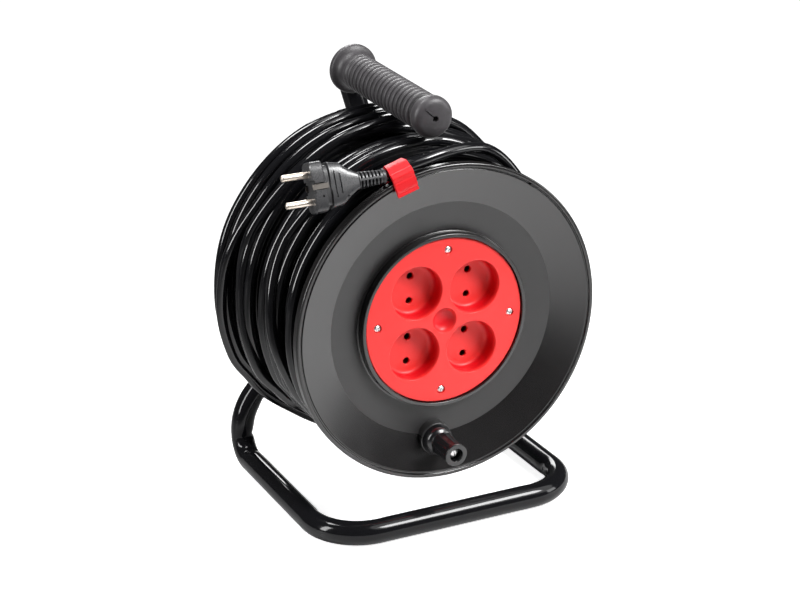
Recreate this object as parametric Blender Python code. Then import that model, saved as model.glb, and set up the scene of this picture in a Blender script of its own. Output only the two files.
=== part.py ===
"""Extension cord reel: a drum of cord with four sockets on its face, turning on a bent tube frame.

The reel stands on z = 0 and faces -Y. Drum pieces are drawn in the drum's own frame, where
y = 0 is the front rim's face, +y runs back along the axle, and the drum's axis is x = z = 0.
"""

import math

import bmesh
import bpy
from mathutils import Matrix, Vector

MM = 0.001

# Clearances
GAP = 0.3 * MM
SLIDE_GAP = 0.5 * MM
RUNNING_GAP = 0.2 * MM

# Drum
RIM_RADIUS = 120 * MM
DRUM_WIDTH = 150 * MM
RIM_DEPTH = 6.5 * MM
RIM_CHAMFER = 0.8 * MM
LIP_WIDTH = 3 * MM
GROOVE_WIDTH = 1.2 * MM
GROOVE_DEPTH = 1.2 * MM
FLANGE_WALL = 2.5 * MM
CONE_WIDTH = 30.9 * MM
CREASE_DEPTH = 10.9 * MM
ANNULUS_RADIUS = 68 * MM
ANNULUS_DEPTH = 13.5 * MM
COLLAR_WIDTH = 2.8 * MM
COLLAR_FRONT = 6.3 * MM
CORE_RADIUS = 66 * MM
CORE_WALL = 2.5 * MM
SPIGOT_WALL = 2.5 * MM
SPIGOT_LENGTH = 4 * MM
DRUM_TURN = 3.1
ROUND_SEGMENTS = 48

# Socket panel and its seat in the collar
PANEL_RADIUS = 62.8 * MM
PANEL_FRONT = 8 * MM
PANEL_THICKNESS = 3 * MM
PANEL_CHAMFER = 1 * MM
LEDGE_WIDTH = 6.4 * MM
LEDGE_THICKNESS = 2.7 * MM
WELL_RADIUS = 20 * MM
WELL_DEPTH = 12.5 * MM
WELL_WALL = 1.8 * MM
WELL_FLOOR = 2 * MM
WELL_OFFSET = 23.3 * MM
PIN_PITCH = 19 * MM
PIN_RADIUS = 2.4 * MM
PIN_LENGTH = 19 * MM
PIN_HOLE_RADIUS = 2.8 * MM
DIMPLE_RADIUS = 9 * MM
DIMPLE_DEPTH = 2.4 * MM
CENTRE_BOSS_RADIUS = 7.5 * MM
PANEL_SCREW_CIRCLE = 53.75 * MM
SCREW_RADIUS = 1.5 * MM
SCREW_HEAD_RADIUS = 2.8 * MM
SCREW_HEAD_HEIGHT = 1.6 * MM
SCREW_LENGTH = 10 * MM
LUG_RADIUS = 5 * MM
LUG_LENGTH = 9 * MM

# Contacts behind the panel
CARRIER_RADIUS = 47.5 * MM
CARRIER_THICKNESS = 17 * MM
SLEEVE_RADIUS = 3.6 * MM
SLEEVE_WALL = 0.9 * MM
BAR_THICKNESS = 1 * MM
BAR_WIDTH = 8 * MM
BAR_STEP = 3 * MM
BAR_LINK_OFFSET = 13 * MM
CLAMP_X = 37 * MM
CLAMP_WIDTH = 8 * MM
CLAMP_SPAN = 24 * MM
CLAMP_SCREW_OFFSET = 8.6 * MM
CLAMP_WALL = 2 * MM

# Hub, axle and tie screws
AXLE_RADIUS = 6 * MM
AXLE_HEAD_RADIUS = 9 * MM
AXLE_HEAD_HEIGHT = 3.5 * MM
BUSH_WALL = 2.8 * MM
BUSH_LENGTH = 8 * MM
BUSH_COLLAR = 1.5 * MM
HUB_RADIUS = 15 * MM
HUB_FRONT = 70 * MM
HUB_PROUD = 1 * MM
WASHER_THICKNESS = 1.4 * MM
WASHER_RADIUS = 11 * MM
NUT_RADIUS = 9.8 * MM
NUT_HEIGHT = 6 * MM
TIE_CIRCLE = 57.5 * MM
TIE_ANGLE = 22.5
TIE_RADIUS = 2 * MM
TIE_HEAD_RADIUS = 4 * MM
TIE_BOSS_RADIUS = 3.9 * MM
TIE_BOSS_LENGTH = 12 * MM
TIE_GRIP = 10 * MM

# Frame
TUBE_RADIUS = 9 * MM
TUBE_WALL = 1.5 * MM
TUBE_SIDES = 16
AXIS_HEIGHT = 155 * MM
LEG_X = 101.5 * MM
FRONT_BAR_Y = -12 * MM
RISER_SPACE = 8.5 * MM
RISER_LEAN = 0.062
LOWER_BEND_Z = -112 * MM
ELBOW_Z = 35.1 * MM
HANDLE_Z = 153 * MM
HANDLE_DROOP = 2
FRONT_CORNER_RADIUS = 38 * MM
BACK_CORNER_RADIUS = 16 * MM
LOWER_BEND_RADIUS = 45 * MM
ELBOW_RADIUS = 45 * MM
HANDLE_BEND_RADIUS = 16 * MM
ARC_STEP = 15
CAP_LIP = 2.2 * MM
CAP_INSERT = 12 * MM

# Grip
GRIP_TO_RISER = 13.5 * MM
GRIP_LENGTH = 142 * MM
GRIP_RADIUS = 13.85 * MM
GRIP_PLAIN_RADIUS = 13.1 * MM
GRIP_GROOVE_DEPTH = 1.3 * MM
GRIP_RINGS = 14
RING_PITCH = 6.5 * MM
RINGS_START = 21 * MM
BULB_RADIUS = 15.5 * MM
BULB_LENGTH = 12 * MM
NOSE_WALL = 8.5 * MM
VENT_RADIUS = 1.8 * MM
VENT_DEPTH = 5.5 * MM
GUARD_RADIUS = 19 * MM
GUARD_LENGTH = 8 * MM
GUARD_FLARE = 1.5 * MM
GRIP_SEGMENTS = 20

# Crank knob
KNOB_PAST_CREASE = 1.9 * MM
KNOB_ANGLE = 267.6
KNOB_END_Y = -28 * MM
KNOB_BASE_RADIUS = 11.8 * MM
KNOB_DOME_LENGTH = 8 * MM
KNOB_BODY_RADIUS = 8.9 * MM
KNOB_WAIST_RADIUS = 7.8 * MM
KNOB_END_RADIUS = 8.6 * MM
KNOB_END_LENGTH = 2.4 * MM
KNOB_RECESS_RADIUS = 5 * MM
KNOB_RECESS_DEPTH = 6.8 * MM
BOSS_RADIUS = 12.4 * MM
BOSS_FRONT = 4.2 * MM
BOSS_BACK_WALL = 1.6 * MM
CRANK_PIN_RADIUS = 3 * MM
CRANK_HEAD_RADIUS = 4 * MM
CRANK_HEAD_HEIGHT = 2.5 * MM

# Cord, clip and plug. The cord's own points and the plug's place are in the reel's level frame.
CORD_RADIUS = 4 * MM
CORD_SIDES_RESOLUTION = 2
LEAD_POINT_COUNT = 14
GROMMET_WALL = 2 * MM
GROMMET_LIP = 1 * MM
CORE_HOLE_Y = 52 * MM
CLIP_ANGLE = 107
CLIP_WIDTH = 17 * MM
CLIP_WALL = 2.5 * MM
CLIP_DEPTH = 12.7 * MM
CLIP_LEG = 11.5 * MM
CLIP_HOOK = 2.4 * MM
CLIP_CROWN = 3 * MM
PLUG_END = (-47.3 * MM, 6.9 * MM, 116.4 * MM)
PLUG_TURN = (-22, -1.5, -2.5)
RELIEF_LENGTH = 21 * MM
RELIEF_RADIUS = 6.1 * MM
PLUG_LENGTH = 35.2 * MM
PLUG_HALF_WIDTH = 17.8 * MM
PLUG_HALF_DEPTH = 9.5 * MM
EARTH_WIDTH = 5 * MM
EARTH_LENGTH = 12 * MM
EARTH_THICKNESS = 0.8 * MM

# How far the wound cord stands past the rims, as (y, extra radius) from front to back
WINDING_FRONT = 15.5 * MM
WINDING_OUTSIDE = (
    (15.5 * MM, -1 * MM),
    (22 * MM, 4.5 * MM),
    (48 * MM, 2.5 * MM),
    (66 * MM, 3.5 * MM),
    (86 * MM, 7.5 * MM),
    (106 * MM, 10 * MM),
    (124 * MM, 12 * MM),
    (132 * MM, 11 * MM),
    (138 * MM, 8 * MM),
    (142 * MM, 4 * MM),
)
LEAD_ROUTE = (
    PLUG_END,
    (-43.9 * MM, 6.9 * MM, 116.7 * MM),
    (-38.5 * MM, 6.9 * MM, 118.3 * MM),
    (-30.0 * MM, 6.8 * MM, 121.1 * MM),
    (-20.0 * MM, 6.4 * MM, 123.4 * MM),
    (-8.0 * MM, 7.2 * MM, 125.6 * MM),
    (5.0 * MM, 9.8 * MM, 126.4 * MM),
    (19.0 * MM, 13.2 * MM, 126.0 * MM),
    (33.0 * MM, 17.0 * MM, 124.0 * MM),
    (48.0 * MM, 20.0 * MM, 120.0 * MM),
    (63.0 * MM, 22.5 * MM, 112.8 * MM),
)

# Places that follow from the sizes above
HUB_BACK = DRUM_WIDTH + HUB_PROUD
RISER_Y = DRUM_WIDTH + RISER_SPACE + TUBE_RADIUS
LEG_END_Y = DRUM_WIDTH
HANDLE_Y = RISER_Y + RISER_LEAN * HANDLE_Z
GRIP_FRONT_Y = HANDLE_Y - GRIP_TO_RISER - GRIP_LENGTH
CREASE_RADIUS = RIM_RADIUS - CONE_WIDTH
KNOB_CIRCLE = CREASE_RADIUS + KNOB_PAST_CREASE
COLLAR_INNER = PANEL_RADIUS + 2 * GAP
COLLAR_OUTER = COLLAR_INNER + COLLAR_WIDTH
PANEL_BACK = PANEL_FRONT + PANEL_THICKNESS
LEDGE_FRONT = PANEL_BACK + GAP
LEDGE_BACK = LEDGE_FRONT + LEDGE_THICKNESS
LEDGE_INNER = COLLAR_INNER - LEDGE_WIDTH
CORE_INNER = CORE_RADIUS - CORE_WALL
CORE_FRONT = ANNULUS_DEPTH + FLANGE_WALL + GAP
SPIGOT_OUTER = CORE_INNER - GAP
SPIGOT_INNER = SPIGOT_OUTER - SPIGOT_WALL
WELL_BOTTOM = PANEL_FRONT + WELL_DEPTH
WELL_BACK = WELL_BOTTOM + WELL_FLOOR
CARRIER_FRONT = WELL_BACK + GAP
CARRIER_BACK = CARRIER_FRONT + CARRIER_THICKNESS
WEB_BACK = DRUM_WIDTH - ANNULUS_DEPTH
WEB_FRONT = WEB_BACK - FLANGE_WALL
BUSH_RADIUS = AXLE_RADIUS + RUNNING_GAP + BUSH_WALL
BUSH_BORE = AXLE_RADIUS + RUNNING_GAP
RIM_INNER = RIM_RADIUS - LIP_WIDTH
SKIRT_INNER = RIM_INNER + GAP
REEL_FRONT = min(FRONT_BAR_Y - TUBE_RADIUS, KNOB_END_Y)
REEL_BACK = HANDLE_Y + TUBE_RADIUS
REEL_ORIGIN = Vector((0, -(REEL_FRONT + REEL_BACK) / 2, AXIS_HEIGHT))
FLOOR_Z = TUBE_RADIUS - AXIS_HEIGHT
QUARTERS = (0, 90, 180, 270)


def remove_startup_objects():
    for obj in list(bpy.data.objects):
        bpy.data.objects.remove(obj)


def finish(name, colour, roughness, metallic=0.0):
    material = bpy.data.materials.new(name)
    material.use_nodes = True
    shader = material.node_tree.nodes["Principled BSDF"]
    shader.inputs["Base Color"].default_value = (*colour, 1)
    shader.inputs["Roughness"].default_value = roughness
    shader.inputs["Metallic"].default_value = metallic
    return material


def add_empty(name, parent=None, location=(0, 0, 0), turn=(0, 0, 0)):
    empty = bpy.data.objects.new(name, None)
    bpy.context.scene.collection.objects.link(empty)
    empty.parent = parent
    empty.location = location
    empty.rotation_euler = [math.radians(angle) for angle in turn]
    return empty


def mesh_of(name, bm):
    """The bmesh as a mesh, its faces turned outwards, smooth but for its real edges."""
    bmesh.ops.recalc_face_normals(bm, faces=bm.faces)
    mesh = bpy.data.meshes.new(name)
    bm.to_mesh(mesh)
    bm.free()
    mesh.shade_smooth()
    mesh.set_sharp_from_angle(angle=math.radians(35))
    return mesh


def add_piece(name, mesh, material, parent, location=(0, 0, 0), turn=(0, 0, 0)):
    if not mesh.materials:
        mesh.materials.append(material)
    piece = bpy.data.objects.new(name, mesh)
    bpy.context.scene.collection.objects.link(piece)
    piece.parent = parent
    piece.location = location
    piece.rotation_euler = [math.radians(angle) for angle in turn]
    return piece


def turned(profile, segments=ROUND_SEGMENTS):
    """A bmesh turned about Y from (radius, y) points: a ring, or a solid if it starts on the axis."""
    bm = bmesh.new()
    verts = [bm.verts.new((radius, y, 0)) for radius, y in profile]
    edges = [bm.edges.new(pair) for pair in zip(verts, verts[1:])]
    if profile[0][0] > 0:
        edges.append(bm.edges.new((verts[-1], verts[0])))
    bmesh.ops.spin(
        bm,
        geom=verts + edges,
        cent=(0, 0, 0),
        axis=(0, 1, 0),
        angle=math.tau,
        steps=segments,
        use_merge=True,
    )
    bmesh.ops.remove_doubles(bm, verts=bm.verts, dist=GAP / 100)
    return bm


def rod(radius, y_from, y_to):
    """The (radius, y) points of a plain solid rod along Y."""
    return [(0, y_from), (radius, y_from), (radius, y_to), (0, y_to)]


def ring(inner, outer, y_from, y_to):
    """The (radius, y) points of a plain ring round Y."""
    return [(inner, y_from), (outer, y_from), (outer, y_to), (inner, y_to)]


def box(low, high):
    bm = bmesh.new()
    low, high = Vector(low), Vector(high)
    place = Matrix.Translation((low + high) / 2) @ Matrix.Diagonal((*(high - low), 1))
    bmesh.ops.create_cube(bm, size=1, matrix=place)
    return bm


def gathered(shapes):
    """One bmesh of (bmesh, move) pairs. The shapes don't touch each other."""
    whole = bmesh.new()
    for bm, move in shapes:
        bmesh.ops.translate(bm, verts=bm.verts, vec=move)
        bmesh.ops.recalc_face_normals(bm, faces=bm.faces)
        loose = bpy.data.meshes.new("loose")
        bm.to_mesh(loose)
        bm.free()
        whole.from_mesh(loose)
        bpy.data.meshes.remove(loose)
    return whole


def combine(piece, bm, operation):
    """Adds the shape to the piece, or takes it away, with a Boolean."""
    tool = bpy.data.objects.new(f"{piece.name}_{operation.lower()}", mesh_of("tool", bm))
    bpy.context.scene.collection.objects.link(tool)
    tool.parent = piece.parent
    tool.location = piece.location
    tool.rotation_euler = piece.rotation_euler
    tool.hide_render = True
    tool.display_type = "WIRE"
    modifier = piece.modifiers.new(operation.lower(), "BOOLEAN")
    modifier.operation = operation
    modifier.object = tool
    modifier.solver = "EXACT"


def on_circle(radius, degrees, y=0):
    angle = math.radians(degrees)
    return Vector((radius * math.cos(angle), y, radius * math.sin(angle)))


def pin_places():
    """Each socket pin as (x, z, line), line being 0 for the upper pin and 1 for the lower one."""
    for x in (-WELL_OFFSET, WELL_OFFSET):
        for z in (-WELL_OFFSET, WELL_OFFSET):
            yield x, z + PIN_PITCH / 2, 0
            yield x, z - PIN_PITCH / 2, 1


def well_places():
    for x in (-WELL_OFFSET, WELL_OFFSET):
        for z in (-WELL_OFFSET, WELL_OFFSET):
            yield Vector((x, 0, z))


def screw_mesh(name, radius, head_radius, head_height, length, segments=12):
    """A pan head screw along +Y, with the head's underside at y = 0."""
    crown = head_radius * 0.7
    profile = [
        (0, -head_height),
        (crown, -head_height),
        (head_radius, -head_height * 0.4),
        (head_radius, 0),
        (radius, 0),
        (radius, length),
        (0, length),
    ]
    return mesh_of(name, turned(profile, segments))


# The two flanges share one outer shape.


def dish_front():
    """The flange's outer face from its rim in to the annulus, as (radius, depth) points."""
    return [
        (RIM_RADIUS, RIM_CHAMFER),
        (RIM_RADIUS - RIM_CHAMFER, 0),
        (RIM_INNER, 0),
        (RIM_INNER, GROOVE_DEPTH),
        (RIM_INNER - GROOVE_WIDTH, GROOVE_DEPTH),
        (RIM_INNER - GROOVE_WIDTH - GAP, GROOVE_DEPTH / 2),
        (CREASE_RADIUS, CREASE_DEPTH),
        (ANNULUS_RADIUS, ANNULUS_DEPTH),
    ]


def dish_back():
    """The flange's inner face from the barrel out to the skirt of the rim."""
    return [
        (SPIGOT_INNER, ANNULUS_DEPTH + FLANGE_WALL + SPIGOT_LENGTH),
        (SPIGOT_OUTER, ANNULUS_DEPTH + FLANGE_WALL + SPIGOT_LENGTH),
        (SPIGOT_OUTER, ANNULUS_DEPTH + FLANGE_WALL),
        (ANNULUS_RADIUS, ANNULUS_DEPTH + FLANGE_WALL),
        (CREASE_RADIUS, CREASE_DEPTH + FLANGE_WALL),
        (SKIRT_INNER, GROOVE_DEPTH / 2 + FLANGE_WALL),
        (SKIRT_INNER, RIM_DEPTH),
        (RIM_RADIUS, RIM_DEPTH),
    ]


def add_front_flange(drum, plastic):
    profile = (
        dish_front()
        + [
            (COLLAR_OUTER, COLLAR_FRONT),
            (COLLAR_INNER, COLLAR_FRONT),
            (COLLAR_INNER, LEDGE_FRONT),
            (LEDGE_INNER, LEDGE_FRONT),
            (LEDGE_INNER, LEDGE_BACK),
            (SPIGOT_INNER, LEDGE_BACK),
        ]
        + dish_back()
    )
    flange = add_piece("front_flange", mesh_of("front_flange", turned(profile)), plastic, drum)
    knob_place = on_circle(KNOB_CIRCLE, KNOB_ANGLE)
    boss = rod(BOSS_RADIUS, BOSS_FRONT, CREASE_DEPTH + BOSS_BACK_WALL)
    lugs = [(turned(boss, 24), knob_place)]
    holes = [
        (
            turned(rod(CRANK_PIN_RADIUS + GAP, BOSS_FRONT - GAP, CREASE_DEPTH + GAP), 24),
            knob_place,
        )
    ]
    for quarter in QUARTERS:
        lug_place = on_circle(PANEL_SCREW_CIRCLE, quarter)
        tie_place = on_circle(TIE_CIRCLE, quarter + TIE_ANGLE)
        lugs.append((turned(rod(LUG_RADIUS, LEDGE_FRONT, LEDGE_FRONT + LUG_LENGTH), 16), lug_place))
        lugs.append(
            (turned(rod(TIE_BOSS_RADIUS, LEDGE_FRONT, LEDGE_FRONT + TIE_BOSS_LENGTH), 16), tie_place)
        )
        holes.append((turned(rod(SCREW_RADIUS + GAP, LEDGE_FRONT - GAP, DRUM_WIDTH / 2), 12), lug_place))
        holes.append(
            (
                turned(rod(TIE_RADIUS + GAP, LEDGE_FRONT + TIE_BOSS_LENGTH - TIE_GRIP, DRUM_WIDTH / 2), 12),
                tie_place,
            )
        )
    combine(flange, gathered(lugs), "UNION")
    combine(flange, gathered(holes), "DIFFERENCE")


def add_rear_flange(drum, plastic):
    hub = [
        (HUB_RADIUS, WEB_BACK),
        (HUB_RADIUS, HUB_BACK),
        (BUSH_RADIUS + GAP, HUB_BACK),
        (BUSH_RADIUS + GAP, HUB_BACK - BUSH_LENGTH),
        (BUSH_BORE + GAP, HUB_BACK - BUSH_LENGTH),
        (BUSH_BORE + GAP, HUB_FRONT + BUSH_LENGTH),
        (BUSH_RADIUS + GAP, HUB_FRONT + BUSH_LENGTH),
        (BUSH_RADIUS + GAP, HUB_FRONT),
        (HUB_RADIUS - FLANGE_WALL, HUB_FRONT),
        (HUB_RADIUS, WEB_FRONT),
        (SPIGOT_INNER, WEB_FRONT),
    ]
    outside = [(radius, DRUM_WIDTH - depth) for radius, depth in dish_front()]
    inside = [(radius, DRUM_WIDTH - depth) for radius, depth in dish_back()]
    mesh = mesh_of("rear_flange", turned(outside + hub + inside))
    flange = add_piece("rear_flange", mesh, plastic, drum)
    holes = [
        (
            turned(rod(TIE_RADIUS + GAP, WEB_FRONT - GAP, WEB_BACK + GAP), 12),
            on_circle(TIE_CIRCLE, quarter + TIE_ANGLE),
        )
        for quarter in QUARTERS
    ]
    combine(flange, gathered(holes), "DIFFERENCE")


def add_core(drum, plastic, rubber):
    """The barrel that the cord is wound on, with the rubber grommet where the cord goes in."""
    barrel = ring(CORE_INNER, CORE_RADIUS, CORE_FRONT, DRUM_WIDTH - CORE_FRONT)
    core = add_piece("drum_core", mesh_of("drum_core", turned(barrel)), plastic, drum)
    bore = CORD_RADIUS + GAP
    neck = bore + GROMMET_WALL
    place = Matrix.Translation((0, CORE_HOLE_Y, 0)) @ Matrix.Rotation(math.radians(-90), 4, "Z")
    hole = turned(rod(neck + GAP, CORE_INNER - CORE_WALL, CORE_RADIUS + CORE_WALL), 16)
    bmesh.ops.transform(hole, matrix=place, verts=hole.verts)
    combine(core, hole, "DIFFERENCE")
    lip = neck + GROMMET_WALL
    inside = CORE_INNER - 2 * GAP
    grommet = turned(
        [
            (bore, inside - GROMMET_LIP),
            (lip, inside - GROMMET_LIP),
            (lip, inside - GAP),
            (neck, inside - GAP),
            (neck, CORE_RADIUS - 2 * GAP),
            (bore, CORE_RADIUS - 2 * GAP),
        ],
        16,
    )
    bmesh.ops.transform(grommet, matrix=place, verts=grommet.verts)
    add_piece("cord_grommet", mesh_of("cord_grommet", grommet), rubber, drum)


def add_socket_panel(drum, plastic):
    panel_profile = [
        (0, PANEL_FRONT),
        (PANEL_RADIUS - PANEL_CHAMFER, PANEL_FRONT),
        (PANEL_RADIUS, PANEL_FRONT + PANEL_CHAMFER),
        (PANEL_RADIUS, PANEL_BACK),
        (0, PANEL_BACK),
    ]
    panel = add_piece("socket_panel", mesh_of("socket_panel", turned(panel_profile)), plastic, drum)
    middle = (PANEL_FRONT + PANEL_BACK) / 2
    cups = [(turned(rod(WELL_RADIUS + WELL_WALL, middle, WELL_BACK), 32), place) for place in well_places()]
    cups.append((turned(rod(CENTRE_BOSS_RADIUS, middle, WELL_BACK), 16), (0, 0, 0)))
    combine(panel, gathered(cups), "UNION")
    dimple = [
        (0, PANEL_FRONT + DIMPLE_DEPTH),
        (DIMPLE_RADIUS / 2, PANEL_FRONT + DIMPLE_DEPTH * 0.75),
        (DIMPLE_RADIUS, PANEL_FRONT),
        (DIMPLE_RADIUS, PANEL_FRONT - GAP),
        (0, PANEL_FRONT - GAP),
    ]
    cuts = [(turned(dimple, 24), (0, 0, 0))]
    pilot = rod(SCREW_RADIUS + GAP, WELL_BACK - SCREW_LENGTH + GAP, WELL_BACK + GAP)
    cuts.append((turned(pilot, 12), (0, 0, 0)))
    for place in well_places():
        cuts.append((turned(rod(WELL_RADIUS, PANEL_FRONT - GAP, WELL_BOTTOM), 32), place))
    seat = [
        (0, PANEL_FRONT - GAP),
        (SCREW_HEAD_RADIUS + GAP, PANEL_FRONT - GAP),
        (SCREW_HEAD_RADIUS + GAP, PANEL_FRONT + SCREW_HEAD_HEIGHT),
        (SCREW_RADIUS + GAP, PANEL_FRONT + SCREW_HEAD_HEIGHT),
        (SCREW_RADIUS + GAP, PANEL_BACK + GAP),
        (0, PANEL_BACK + GAP),
    ]
    for quarter in QUARTERS:
        cuts.append((turned(seat, 12), on_circle(PANEL_SCREW_CIRCLE, quarter)))
    combine(panel, gathered(cuts), "DIFFERENCE")
    pin_holes = [
        (turned(rod(PIN_HOLE_RADIUS, WELL_BOTTOM - GAP, WELL_BACK + GAP), 12), (x, 0, z))
        for x, z, _ in pin_places()
    ]
    combine(panel, gathered(pin_holes), "DIFFERENCE")


def add_panel_screws(drum, steel):
    mesh = screw_mesh("panel_screw", SCREW_RADIUS, SCREW_HEAD_RADIUS, SCREW_HEAD_HEIGHT - GAP, SCREW_LENGTH)
    for number, quarter in enumerate(QUARTERS, 1):
        place = on_circle(PANEL_SCREW_CIRCLE, quarter, PANEL_FRONT + SCREW_HEAD_HEIGHT - GAP)
        add_piece(f"panel_screw_{number}", mesh, steel, drum, place)


def add_contacts(drum, plastic, brass, steel):
    """The insulating block behind the wells, with a bus bar and four contact sleeves for each line."""
    block = rod(CARRIER_RADIUS, CARRIER_FRONT, CARRIER_BACK)
    carrier = add_piece("contact_carrier", mesh_of("contact_carrier", turned(block)), plastic, drum)
    bore = rod(SLEEVE_RADIUS + GAP, CARRIER_FRONT - GAP, CARRIER_BACK + GAP)
    cuts = [(turned(bore, 16), (x, 0, z)) for x, z, _ in pin_places()]
    through = rod(SCREW_RADIUS + GAP, CARRIER_FRONT - GAP, CARRIER_BACK + GAP)
    cuts.append((turned(through, 12), (0, 0, 0)))
    pilot = rod(SCREW_RADIUS + GAP, CARRIER_BACK - SCREW_LENGTH, CARRIER_BACK + GAP)
    for side in (-1, 1):
        cuts.append((turned(pilot, 12), (CLAMP_X, 0, side * CLAMP_SCREW_OFFSET)))
    combine(carrier, gathered(cuts), "DIFFERENCE")
    mesh = screw_mesh(
        "carrier_screw",
        SCREW_RADIUS,
        SCREW_HEAD_RADIUS,
        SCREW_HEAD_HEIGHT,
        CARRIER_THICKNESS + SCREW_LENGTH - 3 * GAP,
    )
    place = (0, CARRIER_BACK + GAP, 0)
    add_piece("carrier_screw", mesh, steel, drum, place, (180, 0, 0))
    for line, name in enumerate(("live_bus_bar", "neutral_bus_bar")):
        front = CARRIER_BACK + GAP + line * BAR_STEP
        add_bus_bar(name, line, front, drum, brass)


def add_bus_bar(name, line, front, drum, brass):
    """A flat link on the block's back, with a tubular contact reaching forward to each of its pins."""
    half = BAR_WIDTH / 2
    back = front + BAR_THICKNESS
    heights = sorted({z for _, z, own in pin_places() if own == line})
    link_x = BAR_LINK_OFFSET * (1 - 2 * line)
    link = box((link_x - half, front, heights[0] - half), (link_x + half, back, heights[-1] + half))
    bar = add_piece(name, mesh_of(name, link), brass, drum)
    reach = WELL_OFFSET + half
    arms = [(box((-reach, front, z - half), (reach, back, z + half)), (0, 0, 0)) for z in heights]
    combine(bar, gathered(arms), "UNION")
    inner = SLEEVE_RADIUS - SLEEVE_WALL
    sleeve_front = CARRIER_FRONT + GAP
    middle = (front + back) / 2
    places = [(x, 0, z) for x, z, own in pin_places() if own == line]
    sleeves = [(turned(rod(SLEEVE_RADIUS, sleeve_front, middle), 16), place) for place in places]
    combine(bar, gathered(sleeves), "UNION")
    bores = [(turned(rod(inner, sleeve_front - GAP, back + GAP), 16), place) for place in places]
    combine(bar, gathered(bores), "DIFFERENCE")


def add_cord_clamp(drum, plastic, steel):
    """The saddle that holds the cord's inner end down on the contact block."""
    front = CARRIER_BACK + GAP
    top = front + 2 * CORD_RADIUS + GAP + CLAMP_WALL
    saddle = box(
        (CLAMP_X - CLAMP_WIDTH / 2, front, -CLAMP_SPAN / 2),
        (CLAMP_X + CLAMP_WIDTH / 2, top, CLAMP_SPAN / 2),
    )
    clamp = add_piece("cord_clamp", mesh_of("cord_clamp", saddle), plastic, drum)
    reach = CORD_RADIUS + GAP
    cuts = [
        (
            box((-CLAMP_WIDTH, front - GAP, -reach), (CLAMP_WIDTH, top - CLAMP_WALL, reach)),
            (CLAMP_X, 0, 0),
        )
    ]
    for side in (-1, 1):
        hole = turned(rod(SCREW_RADIUS + GAP, front - GAP, top + GAP), 12)
        cuts.append((hole, (CLAMP_X, 0, side * CLAMP_SCREW_OFFSET)))
    combine(clamp, gathered(cuts), "DIFFERENCE")
    length = top - CARRIER_BACK + SCREW_LENGTH - 2 * GAP
    mesh = screw_mesh("clamp_screw", SCREW_RADIUS, SCREW_HEAD_RADIUS, SCREW_HEAD_HEIGHT, length)
    for number, side in enumerate((-1, 1), 1):
        place = (CLAMP_X, top + GAP, side * CLAMP_SCREW_OFFSET)
        add_piece(f"clamp_screw_{number}", mesh, steel, drum, place, (180, 0, 0))


def add_tie_screws(drum, steel):
    """Four long screws draw the rear flange and the barrel up against the front flange."""
    head_height = TIE_RADIUS * 1.5
    length = WEB_BACK - LEDGE_FRONT - TIE_BOSS_LENGTH + TIE_GRIP - GAP
    mesh = screw_mesh("tie_screw", TIE_RADIUS, TIE_HEAD_RADIUS, head_height, length)
    for number, quarter in enumerate(QUARTERS, 1):
        place = on_circle(TIE_CIRCLE, quarter + TIE_ANGLE, WEB_BACK + GAP)
        add_piece(f"tie_screw_{number}", mesh, steel, drum, place, (180, 0, 0))


def add_hub_bushes(drum, plastic):
    """Two collared bushes, one in each end of the hub. The collar meets the hub's end."""
    for name, end, into in (("front_bush", HUB_FRONT, 1), ("rear_bush", HUB_BACK, -1)):
        collar = end - into * (GAP + BUSH_COLLAR)
        profile = [
            (BUSH_BORE, collar),
            (HUB_RADIUS - FLANGE_WALL, collar),
            (HUB_RADIUS - FLANGE_WALL, end - into * GAP),
            (BUSH_RADIUS, end - into * GAP),
            (BUSH_RADIUS, end + into * (BUSH_LENGTH - GAP)),
            (BUSH_BORE, end + into * (BUSH_LENGTH - GAP)),
        ]
        add_piece(name, mesh_of(name, turned(profile, 24)), plastic, drum)


def add_axle(reel, steel, zinc):
    """The axle runs from inside the drum back through the riser, where a nut holds it."""
    collar_front = HUB_FRONT - GAP - BUSH_COLLAR
    washer_front = collar_front - GAP - WASHER_THICKNESS
    head_back = washer_front - GAP
    riser_front = RISER_Y - TUBE_RADIUS - 4 * GAP
    riser_back = RISER_Y + TUBE_RADIUS + 3 * GAP
    nut_front = riser_back + WASHER_THICKNESS + GAP
    axle_end = nut_front + NUT_HEIGHT + GAP
    axle = [
        (0, head_back - AXLE_HEAD_HEIGHT),
        (AXLE_HEAD_RADIUS, head_back - AXLE_HEAD_HEIGHT),
        (AXLE_HEAD_RADIUS, head_back),
        (AXLE_RADIUS, head_back),
        (AXLE_RADIUS, axle_end),
        (0, axle_end),
    ]
    add_piece("axle", mesh_of("axle", turned(axle, 24)), steel, reel)
    bore = AXLE_RADIUS + GAP
    rings = (
        ("axle_washer_front", WASHER_RADIUS, washer_front, washer_front + WASHER_THICKNESS),
        ("axle_spacer", AXLE_HEAD_RADIUS, HUB_BACK + BUSH_COLLAR + 2 * GAP, riser_front),
        ("axle_washer_back", WASHER_RADIUS, riser_back, riser_back + WASHER_THICKNESS),
    )
    for name, radius, front, back in rings:
        add_piece(name, mesh_of(name, turned(ring(bore, radius, front, back), 24)), zinc, reel)
    hexagon = turned(rod(NUT_RADIUS, nut_front, nut_front + NUT_HEIGHT), 6)
    nut = add_piece("axle_nut", mesh_of("axle_nut", hexagon), zinc, reel)
    combine(nut, turned(rod(bore, nut_front - GAP, nut_front + NUT_HEIGHT + GAP), 24), "DIFFERENCE")


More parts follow.
